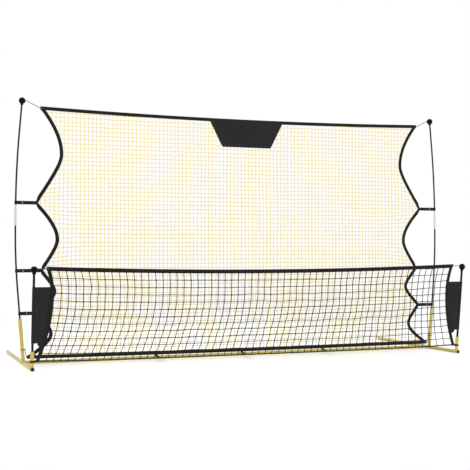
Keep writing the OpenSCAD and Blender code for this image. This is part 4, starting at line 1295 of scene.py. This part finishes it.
sliderSetup = dict(bar=0.0021, rail=0.0019, middle=0.0026, barFlat=0.8, middleFlat=0.7,
                   inset=1.4, sunk=0.6, end=0.002, hump=0.0035, bow=0.0005, fine=5, sides=10)


def roundBar(points, radius, flat=1.0):
    # a bent metal bar with rounded ends, as one mesh
    line = smoothLine(points, sliderSetup["fine"])
    lengths = runLengths(line)
    rings = []
    for point, along, run in zip(line, courses(line), lengths):
        side = along.cross(Vector((0, 1, 0)))
        side = side.normalized() if side.length > 0.1 else Vector((1, 0, 0))
        near = min(run, lengths[-1] - run)
        size = radius * math.sqrt(max(0.12, 1 - max(0.0, 1 - near / radius) ** 2))
        rings.append(roundRing(point, size, side, along.cross(side), sliderSetup["sides"], flat))
    return skin("bar", rings, lengths)


def sliders():
    s = sliderSetup
    bar, rail = s["bar"] / 2, s["rail"] / 2
    for name in strapNames:
        low, high = (np.array(c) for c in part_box("right_%s_buckle" % name))
        x, _, z = (low + high) / 2
        backY, frontY = high[1] - bar, low[1] + bar
        x0, x1 = low[0] + bar * s["inset"], high[0] - bar * s["inset"]
        ends = (low[2] + rail, high[2] - rail)
        meshes = []
        for end in ends:
            meshes.append(roundBar([
                (x0, backY, end), (x0 + s["end"], backY, end), (x - s["hump"], rearY, end),
                (x, frontY + s["bow"], end), (x + s["hump"], rearY, end),
                (x1 - s["end"], backY, end), (x1, backY, end)], rail))
        for barX, y, size, flat in ((x0, backY, bar, s["barFlat"]), (x1, backY, bar, s["barFlat"]),
                                    (x, frontY, s["middle"] / 2, s["middleFlat"])):
            meshes.append(roundBar([(barX, y, ends[0] - rail * s["sunk"]), (barX, y, z),
                                    (barX, y, ends[1] + rail * s["sunk"])], size, flat))
        node = "%s_" + name + "_buckle"
        addPair("Slider." + name, joined("slider", meshes), "buckle", node, node)


tieSetup = dict(thickness=0.0013, clear=0.0002, sewn=0.002, sag=0.05, steps=14, lapGap=0.0005,
                overEnd=0.0012, seams=(0.003, 0.009, 0.015), seamInset=0.0025, seamLift=0.0001,
                landing=0.4, fine=3)


def netTies():
    # straps sewn on the rear net's webbing, laid over the crossbar and sewn round the hem
    s = tieSetup
    points = nodePoints("net_ties")
    groups = np.unique(np.round(points[:, 0], 4))
    width = groups[1] - groups[0]
    thick = s["thickness"]
    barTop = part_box("middle_crossbar")[1].z
    frontY = boxMiddle("middle_crossbar")[1] - bandSetup["thickness"] / 2 - thick / 2 - s["clear"]
    gap = bandSetup["hemThickness"] / 2 + thick / 2 + s["lapGap"]
    half = width / 2 - s["seamInset"]
    meshes, lines = [], []
    for x in (groups[0::2] + groups[1::2]) / 2:
        top = np.polyval(bottomCurve, x) + bandHalf - s["sewn"]
        knee = at(x, frontY - 0.002, barTop + thick / 2 + s["clear"])
        middle, down, out = hemAt(x)
        landing = middle - out * gap - down * hemHalf * s["landing"]
        path = [at(x, frontY, z) for z in np.linspace(top, knee[2] + 0.004, 4)]
        path += [knee + (landing - knee) * t - up * 4 * s["sag"] * (knee[1] - landing[1])
                 * t * (1 - t) for t in np.linspace(0.015, 0.985, s["steps"])]
        over = hemHalf + s["overEnd"]
        path += [middle + out * gap * side + down * drop for side, drop in (
            (-1, hemHalf * 0.5), (-0.6, over), (0.6, over), (1, hemHalf * 0.4),
            (1, -hemHalf * 0.9))]
        meshes.append(ribbon(smoothLine(path, s["fine"]), width, at(1, 0, 0), thick))
        lift = thick / 2 + s["seamLift"]
        seams = [at(x, frontY - lift, top - rise) for rise in s["seams"]]
        seams.append(middle + out * (gap + lift) - down * hemHalf * s["landing"])
        lines += [[seam + at(-half, 0, 0), seam + at(half, 0, 0)] for seam in seams]
    addPiece("netTies", joined("netTies", meshes), "tie", ["net_ties"])
    stitchRows("tieStitches", lines, "tie", "strap")


loopSetup = dict(thickness=0.0012, layer=0.0009, lead=0.018, leadSteps=8, gap=0.006,
                 turn=(200, 520), turnSteps=34, inside=0.0007)


def frontLoops():
    # tapes round the front sockets, sewn to the ends of the hem
    s = loopSetup
    points = rightPoints("front_loops")
    z = (points[:, 2].min() + points[:, 2].max()) / 2
    centre = at(boxMiddle("right_front_socket")[0], planeY(z), z)
    tall = (points - centre) @ leanUp
    radius = (points[:, 0].max() - centre[0]) - s["inside"]
    lead = [at(x, centre[1], z) + leanOut * s["layer"]
            for x in np.linspace(points[:, 0].min() - s["lead"], centre[0] - radius - s["gap"],
                                 s["leadSteps"])]
    loop = arcPath(centre, radius, *s["turn"], -inward, -leanOut, s["turnSteps"])
    back = [p - leanOut * 2 * s["layer"] for p in lead[::-1]]
    narrow = np.linspace(2 * hemHalf, tall.max() - tall.min(), len(lead))
    widths = np.concatenate([narrow, np.full(len(loop), narrow[-1]), narrow[::-1]])
    addPair("FrontLoop", ribbon(lead + loop + back, widths, leanUp, s["thickness"]), "tie",
            "front_loops")


straps()
sliders()
netTies()
frontLoops()
print("straps, sliders, ties and loops")

# a way through an eyelet has four shares; the tail's steps go out of the webbing and up
elasticSetup = dict(radius=0.0024, sides=12, fine=8, knotRadius=0.0034, ringKnot=0.0036,
                    knotThick=0.0021, knotBack=0.0065, lift=0.0017, inset=0.012,
                    topWay=(0.6, 0.45, 0.7, 0.06), legWay=(0.8, 0.4, 0.6, 0.0),
                    tail=((-0.008, 0), (-0.009, -0.008), (-0.0075, -0.02)), tailThick=0.95,
                    legEnd=(-0.018, 0, 0.002), ringTurn=352.5, ringSteps=48)


def roundCord(points, radius, closed=False):
    # a braided cord swept along a smooth line
    points = np.asarray(points, float)
    directions = courses(points, closed)
    side = directions[0].orthogonal().normalized()
    rings = []
    for point, along in zip(points, directions):
        side = (side - along * side.dot(along)).normalized()
        rings.append(roundRing(point, radius, side, along.cross(side), elasticSetup["sides"]))
    return skin("cord", rings, runLengths(points, closed), closed, True)


def knot(middle, axis, size, count=60):
    # a trefoil, which an overhand knot looks like once it is drawn tight
    axis = Vector(axis).normalized()
    one = axis.orthogonal().normalized()
    two = axis.cross(one)
    line = []
    for t in circleAngles(count):
        x = math.sin(t) + 2 * math.sin(2 * t)
        y = math.cos(t) - 2 * math.cos(2 * t)
        z = -math.sin(3 * t)
        line.append(np.array(Vector(middle) + size / 2.2 * (x * one + y * two + z * axis)))
    return roundCord(line, elasticSetup["knotThick"], True)


def throughEyelet(start, near, hole, out, last):
    # the way of a cord over the webbing and through its eyelet
    lift = out * (elasticSetup["lift"] + elasticSetup["radius"])
    return start + [near + lift * last[0], hole + (near - hole) * last[1] + lift,
                    hole + lift * last[2] + (near - hole) * last[3], hole - out * 0.001,
                    hole - lift]


eyeletSetup = dict(hole=0.0042, rim=0.0022, lift=0.0019, roll=0.28, tuck=0.0008, steps=28,
                   sides=10)


def addEyelet(name, middle, out, slot):
    # a pressed metal eyelet: a rolled ring on each face
    s = eyeletSetup
    one = np.array(Vector(out).orthogonal().normalized())
    two = np.cross(out, one)
    meshes = []
    for face in (1, -1):
        ring = []
        for t in circleAngles(s["steps"]):
            spoke = math.cos(t) * one + math.sin(t) * two
            section = []
            for a in circleAngles(s["sides"]):
                r = s["hole"] + s["rim"] / 2 + s["rim"] / 2 * math.cos(a)
                roll = max(0.0, math.sin(a)) * s["rim"] * s["roll"]
                lift = s["lift"] + roll - s["tuck"] * (math.sin(a) < 0)
                section.append(middle + spoke * r + out * face * lift)
            ring.append(section)
        meshes.append(skin("eyelet", ring, np.arange(s["steps"] + 1) * 0.001, True))
    addPair(name + "Eyelet", joined("eyelet", meshes), slot, material=finishes["eyeletMetal"])


def topCords(name, node, curve, reach, planeAt, out, slot):
    # elastic from the ball cap through an eyelet in the webbing's corner, and knotted
    s = elasticSetup
    points = rightPoints(node)
    x = points[:, 0]
    far, near = points[x > x.max() - 0.004].mean(0), points[x < x.min() + 0.004].mean(0)
    z = np.polyval(curve, reach - s["inset"])
    hole = at(reach - s["inset"], planeAt(z), z)
    line = throughEyelet([far + (near - far) * 0.02, far + (near - far) * 0.5], near, hole, out,
                         s["topWay"])
    tail = [hole + out * away + up * rise for away, rise in s["tail"]]
    meshes = [roundCord(smoothLine(line, s["fine"]), s["radius"]),
              knot(hole - out * s["knotBack"], out, s["knotRadius"]),
              roundCord(smoothLine(tail, 6), s["radius"] * s["tailThick"])]
    addPair(name, joined(name, meshes), "elastic", node)
    addEyelet(name, hole, out, slot)


def lowerCords():
    # a ring of elastic round the rear socket, and a leg to the net's lower corner
    s = elasticSetup
    points = rightPoints("rear_lower_cords")
    ring = points[np.abs(points[:, 1] - rearY) > 0.004]
    low, high = ring.min(0), ring.max(0)
    middle = (low + high) / 2 * at(1, 0, 1) + at(0, rearY, 0)
    radius = (high[1] - low[1]) / 2 - 0.0025
    along = mainAxis("right_rear_socket")
    outside = at(along[2], 0, -along[0])
    circle = arcPath(middle, radius, 0, s["ringTurn"], outside, -toFront, s["ringSteps"])
    foot = points[points[:, 2] < points[:, 2].min() + 0.004].mean(0)
    start = middle - outside * (radius + 0.002)
    hole = foot + np.array(s["legEnd"])
    leg = throughEyelet([start, start + (foot - start) * 0.5 + toFront * 0.001], foot, hole,
                        toFront, s["legWay"])
    meshes = [roundCord(circle, s["radius"], True),
              roundCord(smoothLine(leg, s["fine"]), s["radius"]),
              knot(start - outside * 0.001, foot - start, s["ringKnot"]),
              knot(hole - toFront * s["knotBack"], toFront, s["knotRadius"])]
    addPair("LowerCord", joined("lower", meshes), "elastic", "rear_lower_cords")
    addEyelet("Lower", hole, toFront, "rear_webbing")


topCords("RearTopCord", "rear_top_cords", topCurve, topReach, lambda z: rearY, toFront,
         "rear_webbing")
topCords("FrontTopCord", "front_top_cords", frontTopCurve, frontReach, planeY, leanOut,
         "front_webbing")
lowerCords()
print("elastic cords")

weldSetup = dict(pitch=0.0021, width=0.0022, lift=0.0004, steps=64, inside=0.999, seed=5)


def weldBeads():
    # where the sockets stand on the feet
    s = weldSetup
    lines = []
    for foot in ("right_foot_tube", "left_foot_tube"):
        low, high = (np.array(c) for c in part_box(foot))
        radius = (high[2] - low[2]) / 2
        footX, _, footZ = (low + high) / 2
        for y in (rearY, planeY(footZ + radius)):
            line = []
            for t in circleAngles(s["steps"]):
                across = radius * math.cos(t) * s["inside"]
                height = math.sqrt(max(0.0, radius ** 2 - across ** 2))
                line.append(at(footX + across * (1 + s["lift"] / radius),
                               y + radius * math.sin(t), footZ + height + s["lift"]))
            lines.append(line)
    grow("weldBeads", chain(lines, True), weldTree, "tube", Pitch=s["pitch"],
         Width=s["width"], Seed=s["seed"])


weldBeads()
print("weld beads")

bpy.context.view_layer.update()
